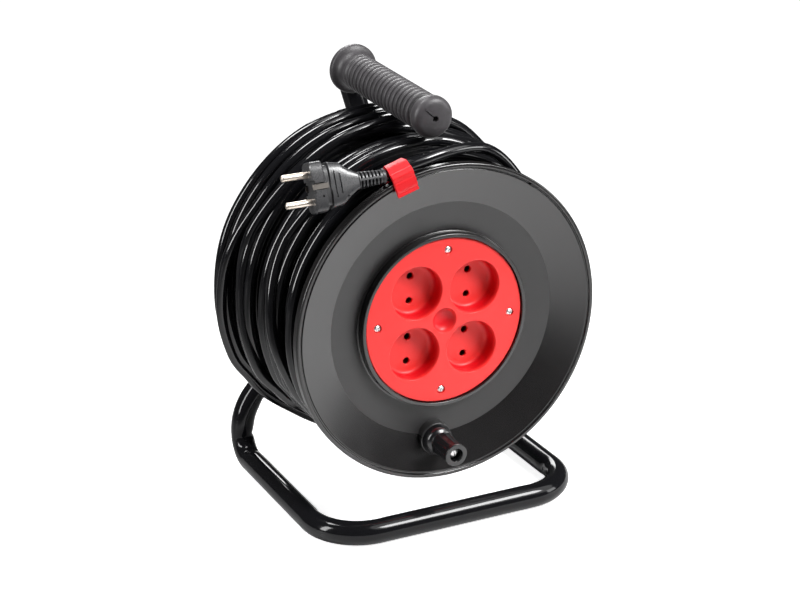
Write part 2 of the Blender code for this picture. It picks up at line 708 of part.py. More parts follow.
def arc_between(before, corner, after, radius):
    """The points of the arc that rounds a corner of a path."""
    back = (before - corner).normalized()
    ahead = (after - corner).normalized()
    half = back.angle(ahead) / 2
    centre = corner + (back + ahead).normalized() * radius / math.sin(half)
    start = corner + back * radius / math.tan(half)
    axis = back.cross(ahead).normalized()
    sweep = math.pi - 2 * half
    steps = max(2, round(math.degrees(sweep) / ARC_STEP))
    turns = [Matrix.Rotation(-sweep * step / steps, 3, axis) for step in range(steps + 1)]
    return [centre + turn @ (start - centre) for turn in turns]


def frame_path():
    """The centre line of the bent tube, from the right leg's end round the base and up to the grip."""

    def riser(x, z):
        return Vector((x, RISER_Y + RISER_LEAN * z, z))

    slope = LEG_X / -LOWER_BEND_Z
    handle = riser(0, HANDLE_Z)
    droop = math.radians(HANDLE_DROOP)
    tube_front = GRIP_FRONT_Y + NOSE_WALL
    reach = handle.y - tube_front
    corners = (
        (Vector((LEG_X, LEG_END_Y, FLOOR_Z)), 0),
        (Vector((LEG_X, FRONT_BAR_Y, FLOOR_Z)), FRONT_CORNER_RADIUS),
        (Vector((-LEG_X, FRONT_BAR_Y, FLOOR_Z)), FRONT_CORNER_RADIUS),
        (riser(-LEG_X, FLOOR_Z), BACK_CORNER_RADIUS),
        (riser(-LEG_X, LOWER_BEND_Z), LOWER_BEND_RADIUS),
        (riser(slope * ELBOW_Z, ELBOW_Z), ELBOW_RADIUS),
        (handle, HANDLE_BEND_RADIUS),
        (Vector((0, tube_front, HANDLE_Z - reach * math.tan(droop))), 0),
    )
    points = [corners[0][0]]
    for (before, _), (corner, radius), (after, _) in zip(corners, corners[1:], corners[2:]):
        points += arc_between(before, corner, after, radius)
    points.append(corners[-1][0])
    return points


def swept_tube(points, radius, sides):
    """An open tube surface along the points. Its flats lie on the radius, with one facing down."""
    bm = bmesh.new()
    corner_radius = radius / math.cos(math.pi / sides)
    ends = [points[0]] + points + [points[-1]]
    upright = Vector((0, 0, 1))
    rings = []
    for before, here, after in zip(ends, points, ends[2:]):
        ahead = (after - here).normalized() if after != here else (here - before).normalized()
        behind = (here - before).normalized() if before != here else ahead
        along = (ahead + behind).normalized()
        upright = (upright - upright.dot(along) * along).normalized()
        across = along.cross(upright)
        ring_verts = []
        for side in range(sides):
            angle = math.tau * (side + 0.5) / sides
            spoke = math.cos(angle) * upright + math.sin(angle) * across
            ring_verts.append(bm.verts.new(here + corner_radius * spoke))
        rings.append(ring_verts)
    for near, far in zip(rings, rings[1:]):
        for side in range(sides):
            bm.faces.new((near[side], near[side - 1], far[side - 1], far[side]))
    return bm


def add_frame(reel, paint, plastic):
    tube = swept_tube(frame_path(), TUBE_RADIUS, TUBE_SIDES)
    frame = add_piece("frame_tube", mesh_of("frame_tube", tube), paint, reel)
    shell = frame.modifiers.new("wall", "SOLIDIFY")
    shell.thickness = TUBE_WALL
    shell.offset = -1
    reach = 2 * TUBE_RADIUS
    hole = turned(rod(AXLE_RADIUS + GAP, RISER_Y - reach, RISER_Y + reach), 24)
    combine(frame, hole, "DIFFERENCE")
    insert = TUBE_RADIUS - TUBE_WALL - SLIDE_GAP
    cap = [
        (0, -CAP_INSERT),
        (insert, -CAP_INSERT),
        (insert, GAP),
        (TUBE_RADIUS, GAP),
        (TUBE_RADIUS, GAP + CAP_LIP),
        (0, GAP + CAP_LIP),
    ]
    mesh = mesh_of("tube_end_cap", turned(cap, TUBE_SIDES))
    add_piece("tube_end_cap", mesh, plastic, reel, (LEG_X, LEG_END_Y, FLOOR_Z))


def add_grip(reel, rubber):
    """The moulded sleeve: a domed nose, finger rings and a flared guard, drawn along its own axis."""
    bore = TUBE_RADIUS / math.cos(math.pi / TUBE_SIDES) + SLIDE_GAP
    profile = [
        (0, VENT_DEPTH),
        (VENT_RADIUS, VENT_DEPTH),
        (VENT_RADIUS, GAP),
        (BULB_RADIUS * 0.45, 0.05 * BULB_LENGTH),
        (BULB_RADIUS * 0.76, 0.18 * BULB_LENGTH),
        (BULB_RADIUS * 0.93, 0.38 * BULB_LENGTH),
        (BULB_RADIUS, 0.68 * BULB_LENGTH),
        (BULB_RADIUS * 0.96, 0.9 * BULB_LENGTH),
        (GRIP_PLAIN_RADIUS, 1.1 * BULB_LENGTH),
    ]
    for number in range(GRIP_RINGS):
        start = RINGS_START + number * RING_PITCH
        profile.append((GRIP_RADIUS - GRIP_GROOVE_DEPTH, start))
        profile.append((GRIP_RADIUS, start + 0.35 * RING_PITCH))
        profile.append((GRIP_RADIUS, start + 0.75 * RING_PITCH))
    guard_start = GRIP_LENGTH - GUARD_LENGTH
    profile += [
        (GRIP_RADIUS - GRIP_GROOVE_DEPTH, RINGS_START + GRIP_RINGS * RING_PITCH),
        (GRIP_PLAIN_RADIUS, RINGS_START + (GRIP_RINGS + 1) * RING_PITCH),
        (GRIP_PLAIN_RADIUS, guard_start - GUARD_LENGTH / 3),
        (GUARD_RADIUS * 0.87, guard_start + GUARD_LENGTH * 0.1),
        (GUARD_RADIUS, guard_start + GUARD_LENGTH * 0.45),
        (GUARD_RADIUS, GRIP_LENGTH - GUARD_LENGTH * 0.2),
        (GUARD_RADIUS * 0.95, GRIP_LENGTH),
        (bore + GUARD_FLARE, GRIP_LENGTH),
        (bore, guard_start),
        (bore, NOSE_WALL - GAP),
        (0, NOSE_WALL - GAP),
    ]
    droop = math.radians(HANDLE_DROOP)
    nose = (0, GRIP_FRONT_Y, HANDLE_Z - (HANDLE_Y - GRIP_FRONT_Y) * math.tan(droop))
    mesh = mesh_of("grip", turned(profile, GRIP_SEGMENTS))
    add_piece("grip", mesh, rubber, reel, nose, (HANDLE_DROOP, 0, 0))


def add_crank_knob(knob_axis, drum, plastic, steel):
    """The knob spins on a shoulder screw that is held in the flange's boss."""
    base = BOSS_FRONT - GAP
    floor = KNOB_END_Y + KNOB_RECESS_DEPTH
    bore = CRANK_PIN_RADIUS + GAP
    knob = [
        (bore, floor),
        (KNOB_RECESS_RADIUS, floor),
        (KNOB_RECESS_RADIUS, KNOB_END_Y),
        (KNOB_END_RADIUS, KNOB_END_Y),
        (KNOB_END_RADIUS, KNOB_END_Y + KNOB_END_LENGTH),
        (KNOB_WAIST_RADIUS, KNOB_END_Y + KNOB_END_LENGTH),
        (KNOB_BODY_RADIUS, base - KNOB_DOME_LENGTH * 1.15),
        (KNOB_WAIST_RADIUS, base - KNOB_DOME_LENGTH),
        (KNOB_BASE_RADIUS * 0.9, base - KNOB_DOME_LENGTH * 0.58),
        (KNOB_BASE_RADIUS, base - KNOB_DOME_LENGTH * 0.2),
        (KNOB_BASE_RADIUS, base),
        (bore, base),
    ]
    add_piece("crank_knob", mesh_of("crank_knob", turned(knob, 24)), plastic, knob_axis)
    pin = screw_mesh(
        "crank_pin",
        CRANK_PIN_RADIUS,
        CRANK_HEAD_RADIUS,
        CRANK_HEAD_HEIGHT,
        CREASE_DEPTH - floor,
        24,
    )
    place = on_circle(KNOB_CIRCLE, KNOB_ANGLE, floor - GAP)
    add_piece("crank_pin", pin, steel, drum, place)


def prism(outline, depth):
    """A bar of the closed (radial, y) outline, as long along X as depth and centred on x = 0."""
    bm = bmesh.new()
    face = bm.faces.new([bm.verts.new((-depth / 2, y, radial)) for radial, y in outline])
    extruded = bmesh.ops.extrude_face_region(bm, geom=[face])
    moved = [part for part in extruded["geom"] if isinstance(part, bmesh.types.BMVert)]
    bmesh.ops.translate(bm, verts=moved, vec=(depth, 0, 0))
    return bm


def add_clip(reel, plastic):
    """The cord clip snaps over the front rim and holds the cord down on it."""
    bow = CLIP_WIDTH ** 2 / (8 * RIM_RADIUS)
    inner_low = RIM_RADIUS + 2 * GAP
    inner_top = inner_low + 2 * CORD_RADIUS + 4 * GAP
    top = inner_top + CLIP_WALL
    front = -GAP - CLIP_WALL
    back = CLIP_DEPTH + CLIP_WALL
    hook_low = SKIRT_INNER - CLIP_HOOK
    hook_top = RIM_RADIUS - bow - GAP
    outline = [
        (RIM_RADIUS - CLIP_LEG, front),
        (top - CLIP_CROWN, front),
        (top, front + CLIP_CROWN),
        (top, back - CLIP_CROWN),
        (top - CLIP_CROWN, back),
        (hook_low, back),
        (hook_low, RIM_DEPTH + 2 * GAP),
        (hook_top, RIM_DEPTH + 2 * GAP),
        (hook_top, CLIP_DEPTH),
        (inner_top - CLIP_CROWN, CLIP_DEPTH),
        (inner_top, CLIP_DEPTH - CLIP_CROWN),
        (inner_top, -GAP + CLIP_CROWN),
        (inner_top - CLIP_CROWN, -GAP),
        (RIM_RADIUS - CLIP_LEG, -GAP),
    ]
    clip = mesh_of("cord_clip", prism(outline, CLIP_WIDTH))
    add_piece("cord_clip", clip, plastic, reel, turn=(0, 90 - CLIP_ANGLE, 0))


def smooth_route(route, count):
    """Evenly numbered points on one smooth curve through the route's own points."""
    points = [Vector(point) for point in route]
    points = [2 * points[0] - points[1]] + points + [2 * points[-1] - points[-2]]
    spans = len(route) - 1
    for number in range(count):
        place = spans * number / (count - 1)
        span = min(int(place), spans - 1)
        t = place - span
        a, b, c, d = points[span : span + 4]
        yield (
            (-t + 2 * t**2 - t**3) * a
            + (2 - 5 * t**2 + 3 * t**3) * b
            + (t + 4 * t**2 - 3 * t**3) * c
            + (t**3 - t**2) * d
        ) / 2


def add_cord_tube(name, route, count, rubber, parent):
    curve = bpy.data.curves.new(name, "CURVE")
    curve.dimensions = "3D"
    curve.bevel_depth = CORD_RADIUS
    curve.bevel_resolution = CORD_SIDES_RESOLUTION
    curve.use_fill_caps = True
    spline = curve.splines.new("POLY")
    spline.points.add(count - 1)
    for point, place in zip(spline.points, smooth_route(route, count)):
        point.co = (*place, 1)
    curve.materials.append(rubber)
    cord = bpy.data.objects.new(name, curve)
    bpy.context.scene.collection.objects.link(cord)
    cord.parent = parent


def add_inner_lead(drum, rubber):
    """The cord's inner end, from the barrel's wall to the clamp on the contact block."""
    low = CARRIER_BACK + 2 * GAP + CORD_RADIUS
    lip_x = CORE_INNER - GROMMET_LIP
    route = (
        (CORE_RADIUS - GAP, CORE_HOLE_Y, 0),
        (lip_x, CORE_HOLE_Y, 0),
        (lip_x - CORD_RADIUS, CORE_HOLE_Y, 0),
        (CLAMP_X + 1.5 * CLAMP_WIDTH, low, 0),
        (CLAMP_X + CLAMP_WIDTH, low, 0),
        (CLAMP_X, low, 0),
        (CLAMP_X - CLAMP_WIDTH, low, 0),
    )
    add_cord_tube("inner_lead", route, LEAD_POINT_COUNT, rubber, drum)


def add_winding(reel, rubber):
    """The wound cord as one ring between the flanges. It leaves room for the boss and the clip."""
    inner = CORE_RADIUS + GAP
    clip_low = SKIRT_INNER - CLIP_HOOK - 2 * CLIP_WALL
    front = [
        (inner, CORE_FRONT + GAP),
        (ANNULUS_RADIUS, ANNULUS_DEPTH + FLANGE_WALL + 2 * GAP),
        (CREASE_RADIUS, CREASE_DEPTH + FLANGE_WALL + 2 * GAP),
        (clip_low, CREASE_DEPTH + BOSS_BACK_WALL + GAP),
        (clip_low, WINDING_FRONT),
    ]
    outside = [(RIM_RADIUS + extra, y) for y, extra in WINDING_OUTSIDE]
    back = [
        (RIM_RADIUS, DRUM_WIDTH - RIM_DEPTH - GAP),
        (SKIRT_INNER - GAP, DRUM_WIDTH - RIM_DEPTH - GAP),
        (CREASE_RADIUS, DRUM_WIDTH - CREASE_DEPTH - FLANGE_WALL - 2 * GAP),
        (ANNULUS_RADIUS, DRUM_WIDTH - ANNULUS_DEPTH - FLANGE_WALL - 2 * GAP),
        (inner, DRUM_WIDTH - CORE_FRONT - GAP),
    ]
    add_piece("cord_winding", mesh_of("cord_winding", turned(front + outside + back)), rubber, reel)


def loft(sections, sides, power):
    """A closed body along X. Each section is (x, half height in z, half depth in y)."""
    bm = bmesh.new()
    rings = []
    for x, half_height, half_depth in sections:
        ring_verts = []
        for side in range(sides):
            angle = math.tau * (side + 0.5) / sides
            up = math.copysign(abs(math.sin(angle)) ** power, math.sin(angle))
            deep = math.copysign(abs(math.cos(angle)) ** power, math.cos(angle))
            ring_verts.append(bm.verts.new((x, half_depth * deep, half_height * up)))
        rings.append(ring_verts)
    for near, far in zip(rings, rings[1:]):
        for side in range(sides):
            bm.faces.new((near[side], near[side - 1], far[side - 1], far[side]))
    bm.faces.new(rings[0])
    bm.faces.new(rings[-1])
    return bm


def add_plug(plug, rubber, plastic, steel):
    """The plug and its strain relief, drawn along -X from the cord's end."""
    relief = [
        (-GAP, RELIEF_RADIUS * 0.85, RELIEF_RADIUS * 0.85),
        (-RELIEF_LENGTH * 0.5, RELIEF_RADIUS * 0.95, RELIEF_RADIUS * 0.95),
        (-RELIEF_LENGTH + GAP, RELIEF_RADIUS, RELIEF_RADIUS),
    ]
    add_piece("strain_relief", mesh_of("strain_relief", loft(relief, 16, 1)), rubber, plug)
    start = -RELIEF_LENGTH
    face = start - PLUG_LENGTH
    body = [
        (start, RELIEF_RADIUS * 1.1, RELIEF_RADIUS),
        (start - PLUG_LENGTH * 0.37, PLUG_HALF_WIDTH * 0.8, PLUG_HALF_DEPTH * 0.74),
        (start - PLUG_LENGTH * 0.68, PLUG_HALF_WIDTH * 0.84, PLUG_HALF_DEPTH * 0.8),
        (start - PLUG_LENGTH * 0.72, PLUG_HALF_WIDTH, PLUG_HALF_DEPTH),
        (start - PLUG_LENGTH * 0.97, PLUG_HALF_WIDTH, PLUG_HALF_DEPTH),
        (face, PLUG_HALF_WIDTH * 0.95, PLUG_HALF_DEPTH * 0.93),
    ]
    shell = add_piece("plug_body", mesh_of("plug_body", loft(body, 24, 0.8)), plastic, plug)

    earth_inner = PLUG_HALF_DEPTH - 2 * EARTH_THICKNESS
    half = EARTH_WIDTH / 2
    socket_depth = PIN_LENGTH / 3
    cuts = []
    for side in (-1, 1):
        slot = box(
            (face - GAP, earth_inner, -half - GAP),
            (face + EARTH_LENGTH + GAP, 2 * PLUG_HALF_DEPTH, half + GAP),
        )
        bmesh.ops.scale(slot, vec=(1, side, 1), verts=slot.verts)
        cuts.append((slot, (0, 0, 0)))
        hole = turned(rod(PIN_RADIUS + GAP, -socket_depth, GAP), 12)
        bmesh.ops.rotate(hole, verts=hole.verts, matrix=Matrix.Rotation(math.radians(90), 3, "Z"))
        cuts.append((hole, (face, 0, side * PIN_PITCH / 2)))
    combine(shell, gathered(cuts), "DIFFERENCE")

    strip_inner = earth_inner + GAP
    strip = mesh_of(
        "plug_earth_strip",
        box((face, strip_inner, -half), (face + EARTH_LENGTH, strip_inner + EARTH_THICKNESS, half)),
    )
    pin_profile = [
        (0, -socket_depth + GAP),
        (PIN_RADIUS, -socket_depth + GAP),
        (PIN_RADIUS, PIN_LENGTH - PIN_RADIUS / 2),
        (PIN_RADIUS / 2, PIN_LENGTH),
        (0, PIN_LENGTH),
    ]
    pin = mesh_of("plug_pin", turned(pin_profile, 12))
    for number, side in enumerate((-1, 1), 1):
        strip_turn = (90 * (1 + side), 0, 0)
        add_piece(f"plug_earth_strip_{number}", strip, steel, plug, turn=strip_turn)
        pin_place = (face, 0, side * PIN_PITCH / 2)
        add_piece(f"plug_pin_{number}", pin, steel, plug, pin_place, (0, 0, 90))


def build_reel():
    remove_startup_objects()
    black_plastic = finish("black_plastic", (0.035, 0.034, 0.035), 0.42)
    black_paint = finish("black_paint", (0.006, 0.006, 0.007), 0.16)
    red_plastic = finish("red_plastic", (0.86, 0.045, 0.05), 0.36)
    grip_rubber = finish("grip_rubber", (0.05, 0.049, 0.051), 0.6)
    cord_rubber = finish("cord_rubber", (0.009, 0.009, 0.01), 0.22)
    plug_plastic = finish("plug_plastic", (0.06, 0.06, 0.063), 0.5)
    nickel = finish("nickel", (0.75, 0.72, 0.68), 0.25, 1)
    zinc = finish("zinc_steel", (0.6, 0.6, 0.6), 0.35, 1)
    brass = finish("brass", (0.78, 0.57, 0.27), 0.3, 1)
    ivory_plastic = finish("ivory_plastic", (0.7, 0.67, 0.58), 0.5)

    reel = add_empty("reel_frame", location=REEL_ORIGIN)
    drum = add_empty("drum_axis", reel, turn=(0, DRUM_TURN, 0))
    knob_axis = add_empty("knob_axis", drum, on_circle(KNOB_CIRCLE, KNOB_ANGLE))
    plug = add_empty("plug_place", reel, PLUG_END, PLUG_TURN)

    add_frame(reel, black_paint, black_plastic)
    add_grip(reel, grip_rubber)
    add_axle(reel, zinc, zinc)

    add_front_flange(drum, black_plastic)
    add_rear_flange(drum, black_plastic)
    add_core(drum, black_plastic, cord_rubber)
    add_tie_screws(drum, zinc)
    add_hub_bushes(drum, ivory_plastic)
    add_socket_panel(drum, red_plastic)
    add_panel_screws(drum, zinc)
    add_contacts(drum, ivory_plastic, brass, zinc)
    add_cord_clamp(drum, ivory_plastic, zinc)
    add_inner_lead(drum, cord_rubber)
    add_crank_knob(knob_axis, drum, black_plastic, zinc)

    add_clip(reel, red_plastic)
    add_winding(reel, cord_rubber)
    add_cord_tube("cord_lead", LEAD_ROUTE, LEAD_POINT_COUNT, cord_rubber, reel)
    add_plug(plug, cord_rubber, plug_plastic, nickel)


build_reel()
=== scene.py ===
"""Looks of the extension cord reel: the wound cord, the moulded and painted finishes, the studio."""

import math

import bmesh
import bpy
from mathutils import Euler, Matrix, Vector, noise


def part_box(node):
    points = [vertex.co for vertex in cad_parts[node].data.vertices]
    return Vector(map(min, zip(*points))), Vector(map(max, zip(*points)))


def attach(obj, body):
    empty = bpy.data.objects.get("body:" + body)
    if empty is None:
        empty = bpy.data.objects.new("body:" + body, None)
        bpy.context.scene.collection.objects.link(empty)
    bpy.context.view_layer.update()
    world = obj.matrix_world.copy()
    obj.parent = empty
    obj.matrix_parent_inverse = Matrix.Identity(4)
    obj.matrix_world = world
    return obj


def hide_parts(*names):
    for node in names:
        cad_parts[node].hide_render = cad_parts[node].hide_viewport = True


MM = 0.001


def in_mm(*rows):
    """Rows of numbers in millimetres, as metres."""
    return [tuple(value * MM for value in row) for row in rows]


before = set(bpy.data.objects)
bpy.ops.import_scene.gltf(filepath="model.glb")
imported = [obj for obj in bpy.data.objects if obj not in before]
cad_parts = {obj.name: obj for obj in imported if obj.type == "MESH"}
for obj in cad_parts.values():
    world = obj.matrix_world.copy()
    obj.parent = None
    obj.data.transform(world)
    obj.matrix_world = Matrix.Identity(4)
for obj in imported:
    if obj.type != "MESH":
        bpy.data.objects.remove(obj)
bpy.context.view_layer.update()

# The reel's own frame: x = z = 0 on the drum's axis, y = 0 at the front rim, +y to the back
AXLE_LOW, AXLE_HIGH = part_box("axle")
RIM_LOW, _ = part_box("front_flange")
REEL = Matrix.Translation((0, RIM_LOW.y, (AXLE_LOW.z + AXLE_HIGH.z) / 2))
DRUM_TURN = math.radians(3.1)
DRUM = REEL @ Matrix.Rotation(DRUM_TURN, 4, "Y")

# Drum
RIM_RADIUS = 120 * MM
DRUM_WIDTH = 150 * MM
RIM_DEPTH = 6.5 * MM
CREASE_RADIUS = 89.1 * MM
CREASE_DEPTH = 10.9 * MM
ANNULUS_RADIUS = 68 * MM
ANNULUS_DEPTH = 13.5 * MM
FLANGE_WALL = 2.5 * MM
COLLAR_OUTER = 66.2 * MM
COLLAR_INNER = 63.4 * MM
COLLAR_FRONT = 6.3 * MM
LEDGE_INNER = 57 * MM
LEDGE_FRONT = 11.3 * MM
LEDGE_BACK = 14 * MM
SPIGOT_OUTER = 63.2 * MM
SPIGOT_INNER = 60.7 * MM
SPIGOT_END = 20 * MM
CORE_RADIUS = 66 * MM
HUB_RADIUS = 15 * MM
HUB_FRONT = 70 * MM
HUB_BACK = 151 * MM
HUB_BORE = 6.5 * MM
BUSH_SEAT_RADIUS = 9.3 * MM
BUSH_LENGTH = 8 * MM
GROOVE_TAB_TURN = math.radians(32.2)
CATCH_TURN = math.radians(-2.6)
RIBS = 8
ROUND_SEGMENTS = 192
QUARTERS = (0, math.pi / 2, math.pi, -math.pi / 2)

# Socket panel
PANEL_RADIUS = 62.8 * MM
PANEL_FRONT = 8 * MM
PANEL_BACK = 11 * MM
WELL_RADIUS = 20 * MM
WELL_BOTTOM = 20.5 * MM
WELL_BACK = 22.5 * MM
WELL_WALL = 1.8 * MM
CUP_TOP = 9.5 * MM
WELL_OFFSET = 23.3 * MM
PIN_PITCH = 19 * MM
PIN_HOLE_RADIUS = 2.6 * MM
DIMPLE_RADIUS = 9.6 * MM
DIMPLE_DEPTH = 5.2 * MM
PANEL_SCREW_CIRCLE = 53.75 * MM
PANEL_SCREW_SEAT = 9.5 * MM

# Standing tube and grip
TUBE_RADIUS = 9 * MM
TUBE_WALL = 1.5 * MM
TUBE_SIDES = 40
RING_SPACING = 3 * MM
DEGREES_PER_RING = 5
BASE_BEND = 38 * MM
RISER_BEND = 45 * MM
TIGHT_BEND = 16 * MM
PINCH_LENGTH = 3.4 * MM
PINCH_DEPTH = 1.7 * MM
LEG_X = 101.5 * MM
LEG_END_Y = 150 * MM
FRONT_BAR_Y = -12 * MM
FLOOR_Z = -146 * MM
RISER_Y = 167.5 * MM
RISER_LEAN = 0.062
LOWER_BEND_Z = -112 * MM
ELBOW_Z = 35.1 * MM
HANDLE_Y = 176.986 * MM
HANDLE_Z = 153 * MM
HANDLE_DROOP = math.radians(2)
GRIP_FRONT_Y = 21.486 * MM
GRIP_LENGTH = 142 * MM
GRIP_RADIUS = 14 * MM
GRIP_BORE = 9.7 * MM
GRIP_RINGS = 18
RING_PITCH = 6.2 * MM
RING_DEPTH = 1.9 * MM
RING_STEPS = 12
RINGS_START = 17.6 * MM
GUARD_RADIUS = 19 * MM
NOSE_RADIUS = 15.5 * MM
NOSE_WALL = 8.5 * MM

# Crank knob
KNOB_CIRCLE = 91 * MM
KNOB_ANGLE = math.radians(267.6)
KNOB_END_Y = -28 * MM
KNOB_BASE_Y = 3.9 * MM
KNOB_FLOOR_Y = -21.2 * MM
BOSS_RADIUS = 12.4 * MM
BOSS_FRONT = 4.2 * MM
FLUTES = 12

# Clip and plug
CLIP_ANGLE = math.radians(107.6)
CLIP_WIDTH = 16.4 * MM
PLUG_END = (-47.3 * MM, 6.9 * MM, 116.4 * MM)
PLUG_TURN = [math.radians(angle) for angle in (-22, -1.5, -2.5)]
PLUG_BACK = -21 * MM
PLUG_FACE = -56.2 * MM
PIN_RADIUS = 2.4 * MM

# Cord
CORD_RADIUS = 4 * MM
CORE_HOLE_Y = 52 * MM
FIRST_LAYER_RADIUS = CORE_RADIUS + CORD_RADIUS + 0.6 * MM
TURNS_PER_LAYER = (3, 13, 13, 13, 12, 12, 11)
FRONT_INNER_Y = 21 * MM
FRONT_OUTER_Y = 19 * MM
BACK_INNER_Y = 129 * MM
BACK_OUTER_Y = 138 * MM
STEPS_PER_TURN = 150
LAST_TURN_END = math.radians(-50)
STEP_START = 0.25
STEP_SHARE = 0.3
# The outer layer: (y, radius)
OUTER_LAYER = in_mm(
    (15, 114.5),
    (22, 117.5),
    (48, 118.4),
    (66, 119.4),
    (86, 123.2),
    (106, 125.8),
    (124, 127.8),
    (132, 126.8),
    (140, 123.0),
)
LEAD_ROUTE = in_mm(
    (-48.0, 6.9, 116.35),
    (-43.9, 6.9, 116.7),
    (-38.5, 6.9, 118.3),
    (-30.0, 6.8, 121.1),
    (-20.0, 6.4, 123.4),
    (-8.0, 7.2, 125.6),
    (5.0, 9.8, 126.4),
    (19.0, 13.2, 126.0),
    (33.0, 17.0, 123.6),
)
# Turns that stray over their neighbours: (turns before the end, angle, sideways, half the spread)
STRAYS = [
    (before_end, math.radians(angle), sideways * MM, math.radians(spread))
    for before_end, angle, sideways, spread in (
        (2.0, 128, 15, 75),
        (4.0, 105, -16, 70),
        (6.0, 150, 17, 80),
        (8.0, 110, -16, 65),
        (5.0, 300, 15, 80),
        (9.0, 210, 14, 70),
    )
]
STRAY_LIFT = 5.8 * MM
LIFT_STEEPNESS = 2.5
SHIFT_STEEPNESS = 1.2
CLIMB_START = 0.78
# How far the loose outer turns stand out of round: (angle, outwards)
SAG = [
    (math.radians(angle), outwards * MM)
    for angle, outwards in (
        (0, -2.5),
        (40, -2.2),
        (65, -1),
        (90, 1),
        (115, 3),
        (150, 2.2),
        (180, 0),
        (200, -1),
        (212, -4.5),
        (235, -9),
        (270, -9),
        (310, -5),
        (360, -2.5),
    )
]
# How the turns wander: the pace, and (seed, reach) outwards and sideways
WANDER_PACE = 0.83
WANDER_OUT = (3.7, 0.7 * MM)
WANDER_SIDE = (0.4, 1.9 * MM)

# The camera of the photograph
CAMERA_PLACE = Vector((-629.0 * MM, -1219.1 * MM, 542.1 * MM))
CAMERA_AZIMUTH = math.radians(-25.8)
CAMERA_ELEVATION = math.radians(20.88)
CAMERA_ROLL = math.radians(0.46)
FOCAL_PIXELS = 2045.9
IMAGE_WIDTH = 800
SENSOR_WIDTH = 36

# The studio. Each lamp: name, place, the point that it faces, its two sides and its watts
MIDDLE = (0, 0, 0.15)
LAMPS = (
    ("overhead", (-0.3, 0.3, 1.5), MIDDLE, (0.3, 0.7), 14),
    ("left", (-1.5, -0.1, 0.8), MIDDLE, (0.32, 1.1), 18),
    ("right", (1.35, -0.8, 0.45), MIDDLE, (0.5, 0.5), 5),
    ("streak", (0.6, -0.8, 1.05), (0.05, -0.15, 0), (0.5, 0.42), 19),
    ("behind", (0.47, 1.56, 0.96), MIDDLE, (0.6, 0.4), 8.5),
)
SKY_LIGHT = 1.2
SKY_SPREAD = math.radians(50)
SKY_DIRECTION = (-0.5, 0.4, -0.77)
ROOM_LIGHT = 0.05
FLOOR_MIDDLE = (0.2, -0.1, 0)
FLOOR_FADE = (0.2, 0.75)


# Shader maths


class Signal:
    """One output of a shader node. Arithmetic on it adds Math nodes."""

    def __init__(self, finish, socket):
        self.finish = finish
        self.socket = socket

    def math(self, operation, first, second):
        return self.finish.node("ShaderNodeMath", {"operation": operation}, {0: first, 1: second})

    def __add__(self, other):
        return self.math("ADD", self, other)

    def __radd__(self, other):
        return self.math("ADD", other, self)

    def __sub__(self, other):
        return self.math("SUBTRACT", self, other)

    def __rsub__(self, other):
        return self.math("SUBTRACT", other, self)

    def __mul__(self, other):
        return self.math("MULTIPLY", self, other)

    def __rmul__(self, other):
        return self.math("MULTIPLY", other, self)

    def over(self, low, high):
        """0 below low, 1 above high, and smooth between."""
        settings = {"interpolation_type": "SMOOTHSTEP"}
        return self.finish.node("ShaderNodeMapRange", settings, {0: self, 1: low, 2: high})


class Finish:
    """A material: one Principled shader and the nodes that vary it over the surface."""

    def __init__(self, name, colour, roughness, **sockets):
        self.material = bpy.data.materials.new(name)
        self.material.use_nodes = True
        self.tree = self.material.node_tree
        self.shader = self.tree.nodes["Principled BSDF"]
        self.colour = (*colour, 1)
        self.set("Base Color", self.colour)
        self.set("Roughness", roughness)
        for socket, value in sockets.items():
            self.set(socket.replace("_", " "), value)

    def feed(self, socket, value):
        if isinstance(value, Signal):
            self.tree.links.new(value.socket, socket)
        else:
            socket.default_value = value

    def set(self, name, value):
        self.feed(self.shader.inputs[name], value)

    def node(self, kind, settings=None, sockets=None, output=0):
        node = self.tree.nodes.new(kind)
        for name, value in (settings or {}).items():
            setattr(node, name, value)
        for name, value in (sockets or {}).items():
            self.feed(node.inputs[name], value)
        return Signal(self, node.outputs[output])

    def place(self):
        """Where a point lies on its own piece, in metres."""
        return self.node("ShaderNodeTexCoord", output=3)

    def along(self, axis):
        return self.node("ShaderNodeSeparateXYZ", None, {0: self.place()}, "XYZ".index(axis))

    def stretched(self, scale):
        """The place, scaled by a different number along each axis."""
        return self.node(
            "ShaderNodeVectorMath", {"operation": "MULTIPLY"}, {0: self.place(), 1: scale}
        )

    def cloud(self, size, detail=3, roughness=0.5, vector=None):
        """Smooth noise with features of about that size in metres."""
        sockets = {
            "Vector": vector or self.place(),
            "Scale": 1 / size,
            "Detail": detail,
            "Roughness": roughness,
        }
        return self.node("ShaderNodeTexNoise", None, sockets)

    def specks(self, size):
        """Distance from the middle of the nearest of many scattered cells."""
        sockets = {"Vector": self.place(), "Scale": 1 / size}
        return self.node("ShaderNodeTexVoronoi", None, sockets)

    def length(self, vector):
        return self.node("ShaderNodeVectorMath", {"operation": "LENGTH"}, {0: vector}, 1)

    def off_axis(self):
        """How far a point lies from its own piece's Y axis, in metres."""
        return self.length(self.stretched((1, 0, 1)))

    def mixed(self, factor, first, second):
        sockets = {0: factor, 6: first, 7: second}
        return self.node("ShaderNodeMix", {"data_type": "RGBA"}, sockets, 2)

    def bump(self, height, depth, strength=1.0):
        sockets = {"Height": height, "Distance": depth, "Strength": strength}
        self.set("Normal", self.node("ShaderNodeBump", None, sockets))


def spark_grain(finish, roughness, relief, duller=0):
    """Gives a moulding its fine spark-eroded grain and faint flow marks, and returns the marks."""
    flow = finish.cloud(38 * MM, 4)
    grit = finish.cloud(0.9 * MM, 2)
    finish.set("Roughness", flow * 0.1 + grit * 0.05 + (roughness - 0.05 + duller))
    finish.bump(grit, relief, 0.5)
    return flow


